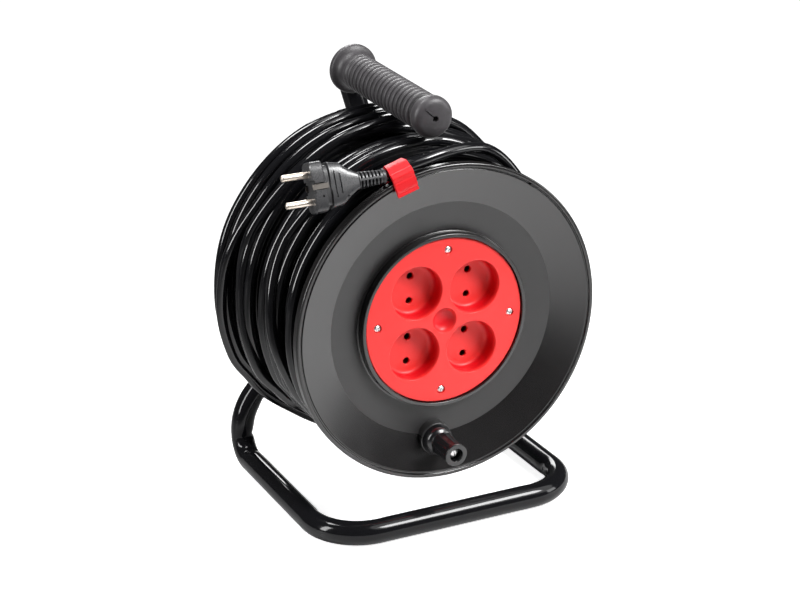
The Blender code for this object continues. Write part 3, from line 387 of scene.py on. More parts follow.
def moulded(name, colour, roughness, relief=0.03 * MM, dust=0.35, **sockets):
    """Moulded plastic with its grain and a little settled dust."""
    finish = Finish(name, colour, roughness, **sockets)
    settled = spark_grain(finish, roughness, relief).over(0.35, 0.75) * dust
    pale = [channel + 0.05 * dust for channel in colour]
    finish.set("Base Color", finish.mixed(settled, finish.colour, (*pale, 1)))
    return finish.material


def sheath(name):
    """The cord's glossy jacket, with slow waves, scuffs and dust along its length."""
    finish = Finish(name, (0.005, 0.005, 0.006), 0.14, Specular_IOR_Level=0.6)
    wave = finish.cloud(14 * MM, 2)
    scuff = finish.cloud(2.2 * MM, 4, 0.6)
    worn = scuff.over(0.58, 0.72) * finish.cloud(30 * MM).over(0.5, 0.75)
    finish.set("Base Color", finish.mixed(worn * 0.3, finish.colour, (0.025, 0.024, 0.024, 1)))
    finish.set("Roughness", 0.11 + wave * 0.04 + worn * 0.05)
    finish.bump(wave + scuff * 0.01, 0.04 * MM, 0.1)
    return finish.material


def painted_steel(name):
    """Thick black powder paint on tube: glossy, with soft orange peel and a few grey rubs."""
    finish = Finish(name, (0.006, 0.006, 0.007), 0.2, Specular_IOR_Level=0.3)
    peel = finish.cloud(3.5 * MM, 1)
    rub = finish.specks(13 * MM).over(0.08, 0.2)
    rubbed = (1 - rub) * finish.cloud(16 * MM, 5, 0.7).over(0.56, 0.68)
    finish.set("Base Color", finish.mixed(rubbed, finish.colour, (0.05, 0.05, 0.052, 1)))
    finish.set("Roughness", 0.08 + peel * 0.05 + rubbed * 0.15)
    finish.bump(peel, 0.04 * MM, 0.25)
    return finish.material


def soft_rubber(name, colour, roughness):
    """The grip's dull skin, mottled by hands, with a fine tooth and painted shade in the valleys between the
    rings.
    """
    finish = Finish(name, colour, roughness, Sheen_Weight=0.15, Sheen_Roughness=0.4)
    mottle = finish.cloud(11 * MM, 5, 0.6)
    tooth = finish.cloud(0.8 * MM, 3)
    # Painted shade: the base colour goes nearly black where the skin lies below the ring tops, behind the
    # nose.
    low = 1 - finish.off_axis().over(GRIP_RADIUS - 1.6 * MM, GRIP_RADIUS - 0.3 * MM)
    valley = low * finish.along("Y").over(14 * MM, 17 * MM)
    darker = [channel * 0.7 for channel in colour]
    skin = finish.mixed(mottle.over(0.4, 0.65), finish.colour, (*darker, 1))
    finish.set("Base Color", finish.mixed(valley * 0.85, skin, (0.008, 0.007, 0.008, 1)))
    finish.set("Roughness", roughness - 0.06 + mottle * 0.12)
    finish.bump(tooth + mottle * 0.5, 0.03 * MM, 0.4)
    return finish.material


def plated(name, colour, roughness, length_axis="Y"):
    """Plated metal with fine drawn lines along one axis and faint tarnish."""
    finish = Finish(name, colour, roughness, Metallic=1.0)
    scale = [1, 1, 1]
    scale["XYZ".index(length_axis)] = 0.06
    lines = finish.cloud(0.35 * MM, 2, vector=finish.stretched(scale))
    tarnish = finish.cloud(4 * MM, 4)
    dull = [channel * 0.85 for channel in colour]
    finish.set("Base Color", finish.mixed(tarnish.over(0.45, 0.75), finish.colour, (*dull, 1)))
    finish.set("Roughness", roughness + lines * 0.04 + tarnish * 0.04)
    finish.bump(lines, 0.001 * MM, 0.1)
    return finish.material


def socket_red(name):
    """The red moulding, with painted shade that deepens its colour down the walls of the wells."""
    finish = Finish(name, (0.85, 0.04, 0.038), 0.34, Specular_IOR_Level=0.3)
    depth = finish.along("Y")
    # Painted shade: the red darkens from the face down the walls of the wells and in the dimple, but not on
    # the well floors.
    painted_wall_shade = depth.over(PANEL_FRONT, PANEL_FRONT + 5 * MM)
    painted_wall_shade = painted_wall_shade * (1 - depth.over(WELL_BOTTOM - 2.2 * MM, WELL_BOTTOM - 0.1 * MM))
    finish.set("Base Color", finish.mixed(painted_wall_shade * 0.85, finish.colour, (0.6, 0.0, 0.008, 1)))
    spark_grain(finish, 0.34, 0.01 * MM)
    return finish.material


def black_moulding(name):
    """Glossy black moulding. The flat ring of a flange is a little duller than its cone."""
    finish = Finish(name, (0.008, 0.0073, 0.0076), 0.2, Specular_IOR_Level=0.9)
    radius = finish.off_axis()
    flat = radius.over(ANNULUS_RADIUS - MM, ANNULUS_RADIUS + MM)
    flat = flat * (1 - radius.over(CREASE_RADIUS - 0.5 * MM, CREASE_RADIUS + 0.3 * MM))
    dusty = spark_grain(finish, 0.2, 0.004 * MM, flat * 0.24).over(0.35, 0.75) * 0.1
    finish.set("Base Color", finish.mixed(dusty, finish.colour, (0.013, 0.012, 0.0125, 1)))
    return finish.material


# Shapes


def turned(profile, segments):
    """A bmesh turned about Y from (radius, y) points: a ring, or a solid if it starts on the axis."""
    bm = bmesh.new()
    verts = [bm.verts.new((radius, y, 0)) for radius, y in profile]
    edges = [bm.edges.new(pair) for pair in zip(verts, verts[1:])]
    if profile[0][0] > 0:
        edges.append(bm.edges.new((verts[-1], verts[0])))
    bmesh.ops.spin(
        bm,
        geom=verts + edges,
        cent=(0, 0, 0),
        axis=(0, 1, 0),
        angle=math.tau,
        steps=segments,
        use_merge=True,
    )
    bmesh.ops.remove_doubles(bm, verts=bm.verts, dist=0.001 * MM)
    return bm


def rod(radius, y_from, y_to):
    """The (radius, y) points of a plain solid rod along Y."""
    return [(0, y_from), (radius, y_from), (radius, y_to), (0, y_to)]


def eased(outline, steps=4):
    """The closed outline of (a, b, ease) points, each corner rounded over that distance both ways."""
    found = []
    for before, here, after in zip(outline[-1:] + outline, outline, outline[1:] + outline[:1]):
        corner = Vector(here[:2])
        ease = here[2] if len(here) > 2 else 0
        if not ease:
            found.append(corner)
            continue
        start = corner + (Vector(before[:2]) - corner).normalized() * ease
        end = corner + (Vector(after[:2]) - corner).normalized() * ease
        for step in range(steps + 1):
            t = step / steps
            found.append((1 - t) ** 2 * start + 2 * t * (1 - t) * corner + t * t * end)
    return found


def block(low, high):
    bm = bmesh.new()
    low, high = Vector(low), Vector(high)
    place = Matrix.Translation((low + high) / 2) @ Matrix.Diagonal((*(high - low), 1))
    bmesh.ops.create_cube(bm, size=1, matrix=place)
    return bm


def prism(outline, width):
    """A bar of the closed (radial, y) outline, centred on x = 0."""
    bm = bmesh.new()
    face = bm.faces.new([bm.verts.new((-width / 2, y, radial)) for radial, y in outline])
    extruded = bmesh.ops.extrude_face_region(bm, geom=[face])
    moved = [part for part in extruded["geom"] if isinstance(part, bmesh.types.BMVert)]
    bmesh.ops.translate(bm, verts=moved, vec=(width, 0, 0))
    return bm


def moved(bm, place):
    bmesh.ops.translate(bm, verts=bm.verts, vec=place)
    return bm


def spun(bm, angle):
    """The bmesh, turned about the Y axis."""
    bmesh.ops.rotate(bm, verts=bm.verts, matrix=Matrix.Rotation(angle, 3, "Y"))
    return bm


def solid_mesh(name, bm):
    """A mesh of the closed bmesh, which is used up."""
    bmesh.ops.recalc_face_normals(bm, faces=bm.faces)
    mesh = bpy.data.meshes.new(name)
    bm.to_mesh(mesh)
    bm.free()
    return mesh


def add_object(name, data):
    added = bpy.data.objects.new(name, data)
    bpy.context.scene.collection.objects.link(added)
    return added


def gathered(parts):
    """One bmesh with all the parts in it. They are used up."""
    whole = bmesh.new()
    for part in parts:
        mesh = solid_mesh("part", part)
        whole.from_mesh(mesh)
        bpy.data.meshes.remove(mesh)
    return whole


def carved(bm, tool, operation="DIFFERENCE"):
    """The bmesh with the tool cut out of it or joined to it. Both are used up."""
    holders = [add_object("carving", solid_mesh("carving", part)) for part in (bm, tool)]
    change = holders[0].modifiers.new("carving", "BOOLEAN")
    change.operation = operation
    change.object = holders[1]
    result = bmesh.new()
    result.from_object(holders[0], bpy.context.evaluated_depsgraph_get())
    for holder in holders:
        bpy.data.objects.remove(holder)
    return result


def add_piece(name, bm, material, body, place, replaces, sharp=35, bevel=0):
    mesh = solid_mesh(name, bm)
    mesh.shade_smooth()
    mesh.set_sharp_from_angle(angle=math.radians(sharp))
    mesh.materials.append(material)
    piece = add_object(name, mesh)
    piece.matrix_world = place
    if bevel:
        edges = piece.modifiers.new("edges", "BEVEL")
        edges.width = bevel
        edges.segments = 3
        edges.angle_limit = math.radians(sharp)
    piece.modifiers.new("even_light", "WEIGHTED_NORMAL").keep_sharp = not bevel
    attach(piece, body)
    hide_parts(*replaces)


def dress(material, *nodes):
    """Gives these CAD nodes that finish."""
    for node in nodes:
        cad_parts[node].data.materials.clear()
        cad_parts[node].data.materials.append(material)


def smooth_step(t):
    t = min(max(t, 0), 1)
    return t * t * (3 - 2 * t)


def between(table, at):
    """Reads a table of (place, value) pairs, with smooth steps between them."""
    for (low, first), (high, second) in zip(table, table[1:]):
        if at <= high:
            return first + (second - first) * smooth_step((at - low) / (high - low))
    return table[-1][1]


def smooth_route(route, per_span):
    """Points on one smooth curve through the route's own points."""
    points = [Vector(point) for point in route]
    points = [2 * points[0] - points[1]] + points + [2 * points[-1] - points[-2]]
    found = []
    for a, b, c, d in zip(points, points[1:], points[2:], points[3:]):
        for step in range(per_span):
            t = step / per_span
            found.append(
                (
                    (-t + 2 * t**2 - t**3) * a
                    + (2 - 5 * t**2 + 3 * t**3) * b
                    + (t + 4 * t**2 - 3 * t**3) * c
                    + (t**3 - t**2) * d
                )
                / 2
            )
    found.append(points[-2])
    return found


def on_drum(radius, angle, y):
    return Vector((radius * math.cos(angle), y, radius * math.sin(angle)))


# The cord


def wander(turn, seed, reach):
    """A slow drift of the turns, up to about that far either way."""
    return reach * 2 * noise.noise(Vector((turn * WANDER_PACE, seed, 0)))


def stray(turn):
    """How far a point is lifted and moved sideways where its turn strays. Turns end at 0."""
    for before_end, angle, sideways, spread in STRAYS:
        centre = angle / math.tau - before_end
        near = 1 - abs(turn - centre) * math.tau / spread
        if near > 0:
            lift = STRAY_LIFT * smooth_step(near * LIFT_STEEPNESS)
            return lift, sideways * smooth_step(near * SHIFT_STEEPNESS)
    return 0, 0


def wound_points():
    """The cord from the hole in the barrel to the end of its last turn, layer upon layer."""
    layers = len(TURNS_PER_LAYER) - 1
    whole = sum(TURNS_PER_LAYER)
    start = LAST_TURN_END - whole * math.tau
    points = []
    turn_before = 0
    y_from = CORE_HOLE_Y
    for layer, turns in enumerate(TURNS_PER_LAYER):
        share = layer / layers
        front = FRONT_INNER_Y + (FRONT_OUTER_Y - FRONT_INNER_Y) * share
        back = BACK_INNER_Y + (BACK_OUTER_Y - BACK_INNER_Y) * share
        y_to = front if layer % 2 == 0 else back
        for step in range(turns * STEPS_PER_TURN):
            turn = step / STEPS_PER_TURN
            count = turn_before + turn
            stepped = int(turn) + smooth_step((turn % 1 - STEP_START) / STEP_SHARE)
            y = y_from + (y_to - y_from) * stepped / turns
            climb = share + smooth_step(turn - turns + 1) / layers
            loose = share**2
            outer = between(OUTER_LAYER, y)
            radius = FIRST_LAYER_RADIUS + (outer - FIRST_LAYER_RADIUS) * min(climb, 1)
            angle = start + count * math.tau
            radius += (between(SAG, angle % math.tau) + wander(count, *WANDER_OUT)) * loose
            y += wander(count, *WANDER_SIDE) * loose
            lift, shift = stray(count - whole + LAST_TURN_END / math.tau)
            radius += lift
            y += shift
            points.append(on_drum(radius, angle, y))
        turn_before += turns
        y_from = y_to
    return points


def climbing_points(last, first):
    """From the end of the last turn up onto the winding, to where the lead begins."""
    radius = math.hypot(last.x, last.z)
    radius_to = math.hypot(first.x, first.z)
    angle = math.atan2(last.z, last.x)
    sweep = math.atan2(first.z, first.x) - angle
    steps = round(STEPS_PER_TURN * sweep / math.tau)
    return [
        on_drum(
            radius + (radius_to - radius) * smooth_step((step / steps - CLIMB_START) / (1 - CLIMB_START)),
            angle + sweep * step / steps,
            last.y + (first.y - last.y) * smooth_step(step / steps),
        )
        for step in range(1, steps)
    ]


def add_cord():
    wound = wound_points()
    lead = smooth_route(LEAD_ROUTE[::-1], 4)
    points = wound + climbing_points(wound[-1], lead[0]) + lead
    curve = bpy.data.curves.new("cord", "CURVE")
    curve.dimensions = "3D"
    curve.bevel_depth = CORD_RADIUS
    curve.bevel_resolution = 5
    curve.use_fill_caps = True
    spline = curve.splines.new("POLY")
    spline.points.add(len(points) - 1)
    for point, place in zip(spline.points, points):
        point.co = (*place, 1)
    curve.materials.append(sheath("cord_sheath"))
    cord = add_object("cord", curve)
    cord.matrix_world = REEL
    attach(cord, "drum")
    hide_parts("cord_winding", "cord_lead")
    REEL @ points[0]


# The drum's pieces


def rim_outline():
    """The flange's outer face from its rounded rim in to the annulus."""
    return [
        (RIM_RADIUS, 0, 1.3 * MM),
        (RIM_RADIUS - 3 * MM, 0, 0.9 * MM),
        (RIM_RADIUS - 3.1 * MM, 1.5 * MM, 0.3 * MM),
        (RIM_RADIUS - 4.2 * MM, 1.5 * MM, 0.3 * MM),
        (RIM_RADIUS - 4.5 * MM, 0.6 * MM, 0.6 * MM),
        (CREASE_RADIUS, CREASE_DEPTH, 0.5 * MM),
        (ANNULUS_RADIUS, ANNULUS_DEPTH, 0.5 * MM),
    ]


def skirt_outline():
    """The flange's inner face from the barrel's seat out to the skirt of the rim."""
    return [
        (SPIGOT_INNER, SPIGOT_END),
        (SPIGOT_OUTER, SPIGOT_END),
        (SPIGOT_OUTER, ANNULUS_DEPTH + FLANGE_WALL),
        (ANNULUS_RADIUS, ANNULUS_DEPTH + FLANGE_WALL),
        (CREASE_RADIUS, CREASE_DEPTH + FLANGE_WALL, 1.6 * MM),
        (RIM_RADIUS - 2.7 * MM, 3.1 * MM),
        (RIM_RADIUS - 2.7 * MM, RIM_DEPTH, 0.3 * MM),
        (RIM_RADIUS, RIM_DEPTH, 0.6 * MM),
    ]


def add_front_flange(material):
    outline = (
        rim_outline()
        + [
            (COLLAR_OUTER + 0.2 * MM, ANNULUS_DEPTH, 0.8 * MM),
            (COLLAR_OUTER, COLLAR_FRONT, 0.7 * MM),
            (COLLAR_INNER, COLLAR_FRONT, 0.6 * MM),
            (COLLAR_INNER, LEDGE_FRONT),
            (LEDGE_INNER, LEDGE_FRONT),
            (LEDGE_INNER, LEDGE_BACK),
            (SPIGOT_INNER, LEDGE_BACK),
        ]
        + skirt_outline()
    )
    boss = [
        (0, BOSS_FRONT),
        (BOSS_RADIUS, BOSS_FRONT, 0.9 * MM),
        (BOSS_RADIUS, CREASE_DEPTH + 1.6 * MM),
        (0, CREASE_DEPTH + 1.6 * MM),
    ]
    parts = [
        turned(eased(outline), ROUND_SEGMENTS),
        moved(turned(eased(boss), 64), on_drum(KNOB_CIRCLE, KNOB_ANGLE, 0)),
    ]
    tab = block(
        (-2.2 * MM, 0.1 * MM, RIM_RADIUS - 4.6 * MM),
        (2.2 * MM, 1.6 * MM, RIM_RADIUS - 2.9 * MM),
    )
    catch = block(
        (-1.7 * MM, COLLAR_FRONT - 0.4 * MM, -COLLAR_OUTER + 0.7 * MM),
        (1.7 * MM, COLLAR_FRONT + 1 * MM, -COLLAR_INNER - 0.4 * MM),
    )
    parts += [spun(tab, GROOVE_TAB_TURN), spun(catch, CATCH_TURN)]
    for angle in QUARTERS:
        lug = turned(rod(5 * MM, LEDGE_FRONT, LEDGE_FRONT + 9 * MM), 32)
        parts.append(moved(lug, on_drum(PANEL_SCREW_CIRCLE, angle, 0)))
    add_piece("flange_front", gathered(parts), material, "drum", DRUM, ("front_flange",))


def add_rear_flange(material):
    """The rear flange, drawn as depths from its own face and set at the back of the drum."""
    hub_end = DRUM_WIDTH - HUB_BACK
    hub_front = DRUM_WIDTH - HUB_FRONT
    hub = [
        (HUB_RADIUS + 0.3 * MM, ANNULUS_DEPTH, 1 * MM),
        (HUB_RADIUS, hub_end, 0.6 * MM),
        (BUSH_SEAT_RADIUS, hub_end, 0.3 * MM),
        (BUSH_SEAT_RADIUS, hub_end + BUSH_LENGTH),
        (HUB_BORE, hub_end + BUSH_LENGTH),
        (HUB_BORE, hub_front - BUSH_LENGTH),
        (BUSH_SEAT_RADIUS, hub_front - BUSH_LENGTH),
        (BUSH_SEAT_RADIUS, hub_front),
        (HUB_RADIUS, hub_front),
        (HUB_RADIUS, ANNULUS_DEPTH + FLANGE_WALL),
        (SPIGOT_INNER, ANNULUS_DEPTH + FLANGE_WALL),
    ]
    outline = eased(rim_outline() + hub + skirt_outline())
    parts = [turned([(radius, DRUM_WIDTH - depth) for radius, depth in outline], ROUND_SEGMENTS)]
    for number in range(RIBS):
        rib = block((HUB_RADIUS - MM, 134 * MM, -MM), (SPIGOT_INNER, 141 * MM, MM))
        parts.append(spun(rib, math.tau * number / RIBS))
    add_piece("flange_back", gathered(parts), material, "drum", DRUM, ("rear_flange",))


def cutter(mouth, face, points, steps=4):
    """A cutting outline. Its mouth stands 1 mm out of the face, and the points go on from there."""
    return eased([(0, face - MM), (mouth, face - MM), (mouth, face), *points], steps)


def add_socket_panel(material):
    disc = [
        (0, PANEL_FRONT),
        (PANEL_RADIUS, PANEL_FRONT, 0.8 * MM),
        (PANEL_RADIUS, PANEL_BACK),
        (0, PANEL_BACK),
    ]
    well = [
        (WELL_RADIUS, PANEL_FRONT, 0.95 * MM),
        (WELL_RADIUS - 0.2 * MM, WELL_BOTTOM, 5 * MM),
        (0, WELL_BOTTOM),
    ]
    dimple = [
        (DIMPLE_RADIUS, PANEL_FRONT, 0.5 * MM),
        (DIMPLE_RADIUS * 0.9, PANEL_FRONT + 0.5 * DIMPLE_DEPTH, 1.4 * MM),
        (DIMPLE_RADIUS * 0.55, PANEL_FRONT + 0.9 * DIMPLE_DEPTH, 1.8 * MM),
        (0, PANEL_FRONT + DIMPLE_DEPTH),
    ]
    seat = [
        (3.15 * MM, PANEL_FRONT, 0.5 * MM),
        (3.1 * MM, PANEL_FRONT + 1.6 * MM),
        (0, PANEL_FRONT + 1.6 * MM),
    ]
    hole = [
        (PIN_HOLE_RADIUS, WELL_BOTTOM, 0.6 * MM),
        (PIN_HOLE_RADIUS, WELL_BACK + MM),
        (0, WELL_BACK + MM),
    ]
    well = cutter(WELL_RADIUS + MM, PANEL_FRONT, well, 5)
    dimple = cutter(DIMPLE_RADIUS + 0.9 * MM, PANEL_FRONT, dimple, 5)
    seat = cutter(3.7 * MM, PANEL_FRONT, seat)
    hole = cutter(PIN_HOLE_RADIUS + 0.7 * MM, WELL_BOTTOM, hole)
    offsets = (-WELL_OFFSET, WELL_OFFSET)
    places = [Vector((x, 0, z)) for x in offsets for z in offsets]
    cups = [moved(turned(rod(WELL_RADIUS + WELL_WALL, CUP_TOP, WELL_BACK), 96), place) for place in places]
    cups.append(turned(rod(DIMPLE_RADIUS + 1.2 * MM, CUP_TOP, 16 * MM), 64))
    panel = carved(turned(eased(disc), ROUND_SEGMENTS), gathered(cups), "UNION")
    cuts = [moved(turned(well, 96), place) for place in places]
    cuts.append(turned(dimple, 64))
    cuts += [moved(turned(seat, 40), on_drum(PANEL_SCREW_CIRCLE, angle, 0)) for angle in QUARTERS]
    panel = carved(panel, gathered(cuts))
    holes = [
        moved(turned(hole, 40), place + Vector((0, 0, offset)))
        for place in places
        for offset in (-PIN_PITCH / 2, PIN_PITCH / 2)
    ]
    panel = carved(panel, gathered(holes))
    add_piece("panel_face", panel, material, "drum", DRUM, ("socket_panel",))


def screw_head(radius, height, drive):
    """A low domed head with its underside at y = 0. The drive is cut from its top."""
    dome = [
        (0, -height),
        (radius * 0.55, -height, 0.5 * MM),
        (radius, -height * 0.35, 0.4 * MM),
        (radius, 0),
        (0, 0),
    ]
    if drive == "cross":
        reach = radius * 0.62
        slots = [
            block((-reach, -height - MM, -0.4 * MM), (reach, -height * 0.4, 0.4 * MM)),
            block((-0.4 * MM, -height - MM, -reach), (0.4 * MM, -height * 0.4, reach)),
        ]
    else:
        slots = [block((-radius, -height - MM, -0.45 * MM), (radius, -height * 0.45, 0.45 * MM))]
    head = turned(eased(dome), 40)
    for slot in slots:
        head = carved(head, slot)
    return head


def add_screws(material):
    """The panel's cross-head screws, each left at its own turn, and the slotted crank screw."""
    for number, angle in enumerate(QUARTERS, 1):
        head = screw_head(2.7 * MM, 1.5 * MM, "cross")
        shank = turned(rod(1.5 * MM, -0.2 * MM, 9.5 * MM), 20)
        screw = gathered([head, shank])
        place = DRUM @ Matrix.Translation(on_drum(PANEL_SCREW_CIRCLE, angle, PANEL_SCREW_SEAT))
        place = place @ Matrix.Rotation(0.7 + 1.1 * number, 4, "Y")
        node = f"panel_screw_{number}"
        add_piece(f"cross_screw_{number}", screw, material, "drum", place, (node,))
    head = screw_head(4 * MM, 2.4 * MM, "slot")
    shank = turned(rod(3 * MM, -0.2 * MM, 32 * MM), 32)
    screw = gathered([head, shank])
    place = DRUM @ Matrix.Translation(on_drum(KNOB_CIRCLE, KNOB_ANGLE, KNOB_FLOOR_Y - 0.3 * MM))
    place = place @ Matrix.Rotation(math.radians(68), 4, "Y")
    add_piece("slotted_crank_screw", screw, material, "drum", place, ("crank_pin",))


def add_knob(material):
    """The crank knob: a domed foot, a groove, a fluted body and a flat end ring round the screw."""
    outline = [
        (3.35 * MM, KNOB_FLOOR_Y),
        (5 * MM, KNOB_FLOOR_Y),
        (5 * MM, KNOB_END_Y, 0.5 * MM),
        (8.6 * MM, KNOB_END_Y, 0.7 * MM),
        (8.6 * MM, KNOB_END_Y + 2.2 * MM, 0.5 * MM),
        (7.7 * MM, KNOB_END_Y + 2.6 * MM, 0.2 * MM),
        (7.9 * MM, -16 * MM, 2 * MM),
        (8.9 * MM, -6.2 * MM, 0.8 * MM),
        (8.7 * MM, -5 * MM, 0.3 * MM),
        (8.1 * MM, -4.6 * MM, 0.2 * MM),
        (8.3 * MM, -3.9 * MM, 0.3 * MM),
        (10.2 * MM, -2.6 * MM, 1.2 * MM),
        (11.5 * MM, 0.6 * MM, 1.4 * MM),
        (11.8 * MM, KNOB_BASE_Y, 0.4 * MM),
        (3.35 * MM, KNOB_BASE_Y),
    ]
    knob = turned(eased(outline), 120)
    bmesh.ops.subdivide_edges(
        knob,
        edges=[edge for edge in knob.edges if abs(edge.verts[0].co.y - edge.verts[1].co.y) > 5 * MM],
        cuts=5,
        use_grid_fill=True,
    )
    for vert in knob.verts:
        radius = math.hypot(vert.co.x, vert.co.z)
        if radius > 7 * MM and KNOB_END_Y + 2.4 * MM < vert.co.y < -5.2 * MM:
            around = math.cos(FLUTES * math.atan2(vert.co.z, vert.co.x))
            grown = 1 + (0.55 * MM * max(around, 0) ** 3 - 0.25 * MM) / radius
            vert.co.x *= grown
            vert.co.z *= grown
    parts = [knob]
    for number in range(FLUTES):
        tooth = block(
            (7 * MM, KNOB_END_Y + 2.2 * MM, -0.9 * MM),
            (8.75 * MM, KNOB_END_Y + 3.4 * MM, 0.9 * MM),
        )
        parts.append(spun(tooth, math.tau * number / FLUTES))
    place = DRUM @ Matrix.Translation(on_drum(KNOB_CIRCLE, KNOB_ANGLE, 0))
    add_piece("fluted_knob", gathered(parts), material, "knob", place, ("crank_knob",), 40)


# The standing tube and its grip


def arc_between(before, corner, after, radius):
    """Points on the bend that rounds the corner off, and the bend's centre."""
    back = (before - corner).normalized()
    ahead = (after - corner).normalized()
    opening = back.angle(ahead)
    reach = radius / math.tan(opening / 2)
    centre = corner + (back + ahead).normalized() * radius / math.sin(opening / 2)
    start = corner + back * reach
    turn = math.pi - opening
    axis = (start - centre).cross(-back).normalized()
    steps = max(3, round(math.degrees(turn) / DEGREES_PER_RING))
    return [
        centre + Matrix.Rotation(turn * step / steps, 3, axis) @ (start - centre) for step in range(steps + 1)
    ], centre


def tube_path():
    """The tube's centre line, and the dents of its bends as (place, direction) pairs."""

    def riser(x, z):
        return Vector((x, RISER_Y + RISER_LEAN * z, z))

    slope = LEG_X / -LOWER_BEND_Z
    tube_front = GRIP_FRONT_Y + NOSE_WALL
    drop = (HANDLE_Y - tube_front) * math.tan(HANDLE_DROOP)
    corners = (
        (Vector((LEG_X, LEG_END_Y, FLOOR_Z)), 0),
        (Vector((LEG_X, FRONT_BAR_Y, FLOOR_Z)), BASE_BEND),
        (Vector((-LEG_X, FRONT_BAR_Y, FLOOR_Z)), BASE_BEND),
        (riser(-LEG_X, FLOOR_Z), TIGHT_BEND),
        (riser(-LEG_X, LOWER_BEND_Z), RISER_BEND),
        (riser(slope * ELBOW_Z, ELBOW_Z), RISER_BEND),
        (riser(0, HANDLE_Z), TIGHT_BEND),
        (Vector((0, tube_front, HANDLE_Z - drop)), 0),
    )
    points = [corners[0][0]]
    dents = []
    for (before, _), (corner, radius), (after, _) in zip(corners, corners[1:], corners[2:]):
        bend, centre = arc_between(before, corner, after, radius)
        for end in (bend[0], bend[-1]):
            dents.append((end, (centre - end).normalized()))
        points += bend
    points.append(corners[-1][0])
    dense = []
    for here, after in zip(points, points[1:]):
        steps = max(1, round((after - here).length / RING_SPACING))
        dense += [here.lerp(after, step / steps) for step in range(steps)]
    return dense + [points[-1]], dents


def add_tube(material):
    """One bent steel tube, open at the right leg's end, slightly pinched where each bend begins."""
    points, dents = tube_path()
    bm = bmesh.new()
    walls = []
    for radius in (TUBE_RADIUS, TUBE_RADIUS - TUBE_WALL):
        upright = Vector((0, 0, 1))
        rings = []
        for before, here, after in zip(points[:1] + points, points, points[1:] + points[-1:]):
            along = (after - before).normalized()
            upright = (upright - upright.dot(along) * along).normalized()
            across = along.cross(upright)
            ring_verts = []
            for side in range(TUBE_SIDES):
                angle = math.tau * (side + 0.5) / TUBE_SIDES
                spoke = math.cos(angle) * upright + math.sin(angle) * across
                reach = radius
                for end, inward in dents:
                    far = (here - end).length / PINCH_LENGTH
                    if far < 4:
                        facing = max(spoke.dot(inward), 0) ** 3
                        reach -= facing * PINCH_DEPTH * math.exp(-far * far)
                ring_verts.append(bm.verts.new(here + reach * spoke))
            rings.append(ring_verts)
        for near, far in zip(rings, rings[1:]):
            for side in range(TUBE_SIDES):
                bm.faces.new((near[side], near[side - 1], far[side - 1], far[side]))
        walls.append(rings)
    for end in (0, -1):
        outer, inner = walls[0][end], walls[1][end]
        for side in range(TUBE_SIDES):
            bm.faces.new((outer[side], outer[side - 1], inner[side - 1], inner[side]))
    add_piece("bent_tube", bm, material, "frame", REEL, ("frame_tube",), 50)


def add_grip(material):
    """The moulded sleeve: a flattened dome with a vent and a slit, finger rings and a flared guard."""
    nose = [
        (0, 5.5 * MM),
        (2.1 * MM, 5.5 * MM),
        (2.1 * MM, 0.25 * MM, 0.3 * MM),
        (7.5 * MM, 0.4 * MM, 3 * MM),
        (12.6 * MM, 1.6 * MM, 1.8 * MM),
        (NOSE_RADIUS - 0.2 * MM, 4.2 * MM, 2 * MM),
        (NOSE_RADIUS, 9.2 * MM, 2.2 * MM),
        (14.6 * MM, 12.2 * MM, 1 * MM),
        (12.6 * MM, 13.4 * MM, 0.9 * MM),
    ]
    rings = []
    for number in range(GRIP_RINGS * RING_STEPS + 1):
        share = number / RING_STEPS
        fade = 1 - 0.5 * smooth_step((share - GRIP_RINGS + 3) / 3)
        valley = (0.5 + 0.5 * math.cos(math.tau * share)) ** 3
        rings.append((GRIP_RADIUS - RING_DEPTH * valley * fade, RINGS_START + share * RING_PITCH))
    guard_start = GRIP_LENGTH - 9 * MM
    guard = [
        (13.6 * MM, guard_start, 2 * MM),
        (15.8 * MM, guard_start + 2.6 * MM, 1.2 * MM),
        (GUARD_RADIUS, guard_start + 4.4 * MM, 1.2 * MM),
        (GUARD_RADIUS, GRIP_LENGTH - 0.3 * MM, 1.2 * MM),
        (GUARD_RADIUS - 3 * MM, GRIP_LENGTH, 0.6 * MM),
        (GUARD_RADIUS - 3.6 * MM, GRIP_LENGTH - 1.4 * MM, 0.5 * MM),
        (GUARD_RADIUS - 5.6 * MM, GRIP_LENGTH - 1.4 * MM, 0.5 * MM),
        (GUARD_RADIUS - 6 * MM, GRIP_LENGTH, 0.6 * MM),
        (11.2 * MM, GRIP_LENGTH, 0.6 * MM),
        (GRIP_BORE, guard_start + 2 * MM, 0.8 * MM),
        (GRIP_BORE, NOSE_WALL - 0.3 * MM),
        (0, NOSE_WALL - 0.3 * MM),
    ]
    slit = block((-0.5 * MM, -MM, 1.2 * MM), (0.5 * MM, 1.9 * MM, 11 * MM))
    sleeve = carved(turned(eased(nose + rings + guard), 112), spun(slit, math.radians(-48)))
    drop = (HANDLE_Y - GRIP_FRONT_Y) * math.tan(HANDLE_DROOP)
    place = REEL @ Matrix.Translation((0, GRIP_FRONT_Y, HANDLE_Z - drop))
    place = place @ Matrix.Rotation(HANDLE_DROOP, 4, "X")
    add_piece("grip_sleeve", sleeve, material, "frame", place, ("grip",), 45)


# The clip and the plug


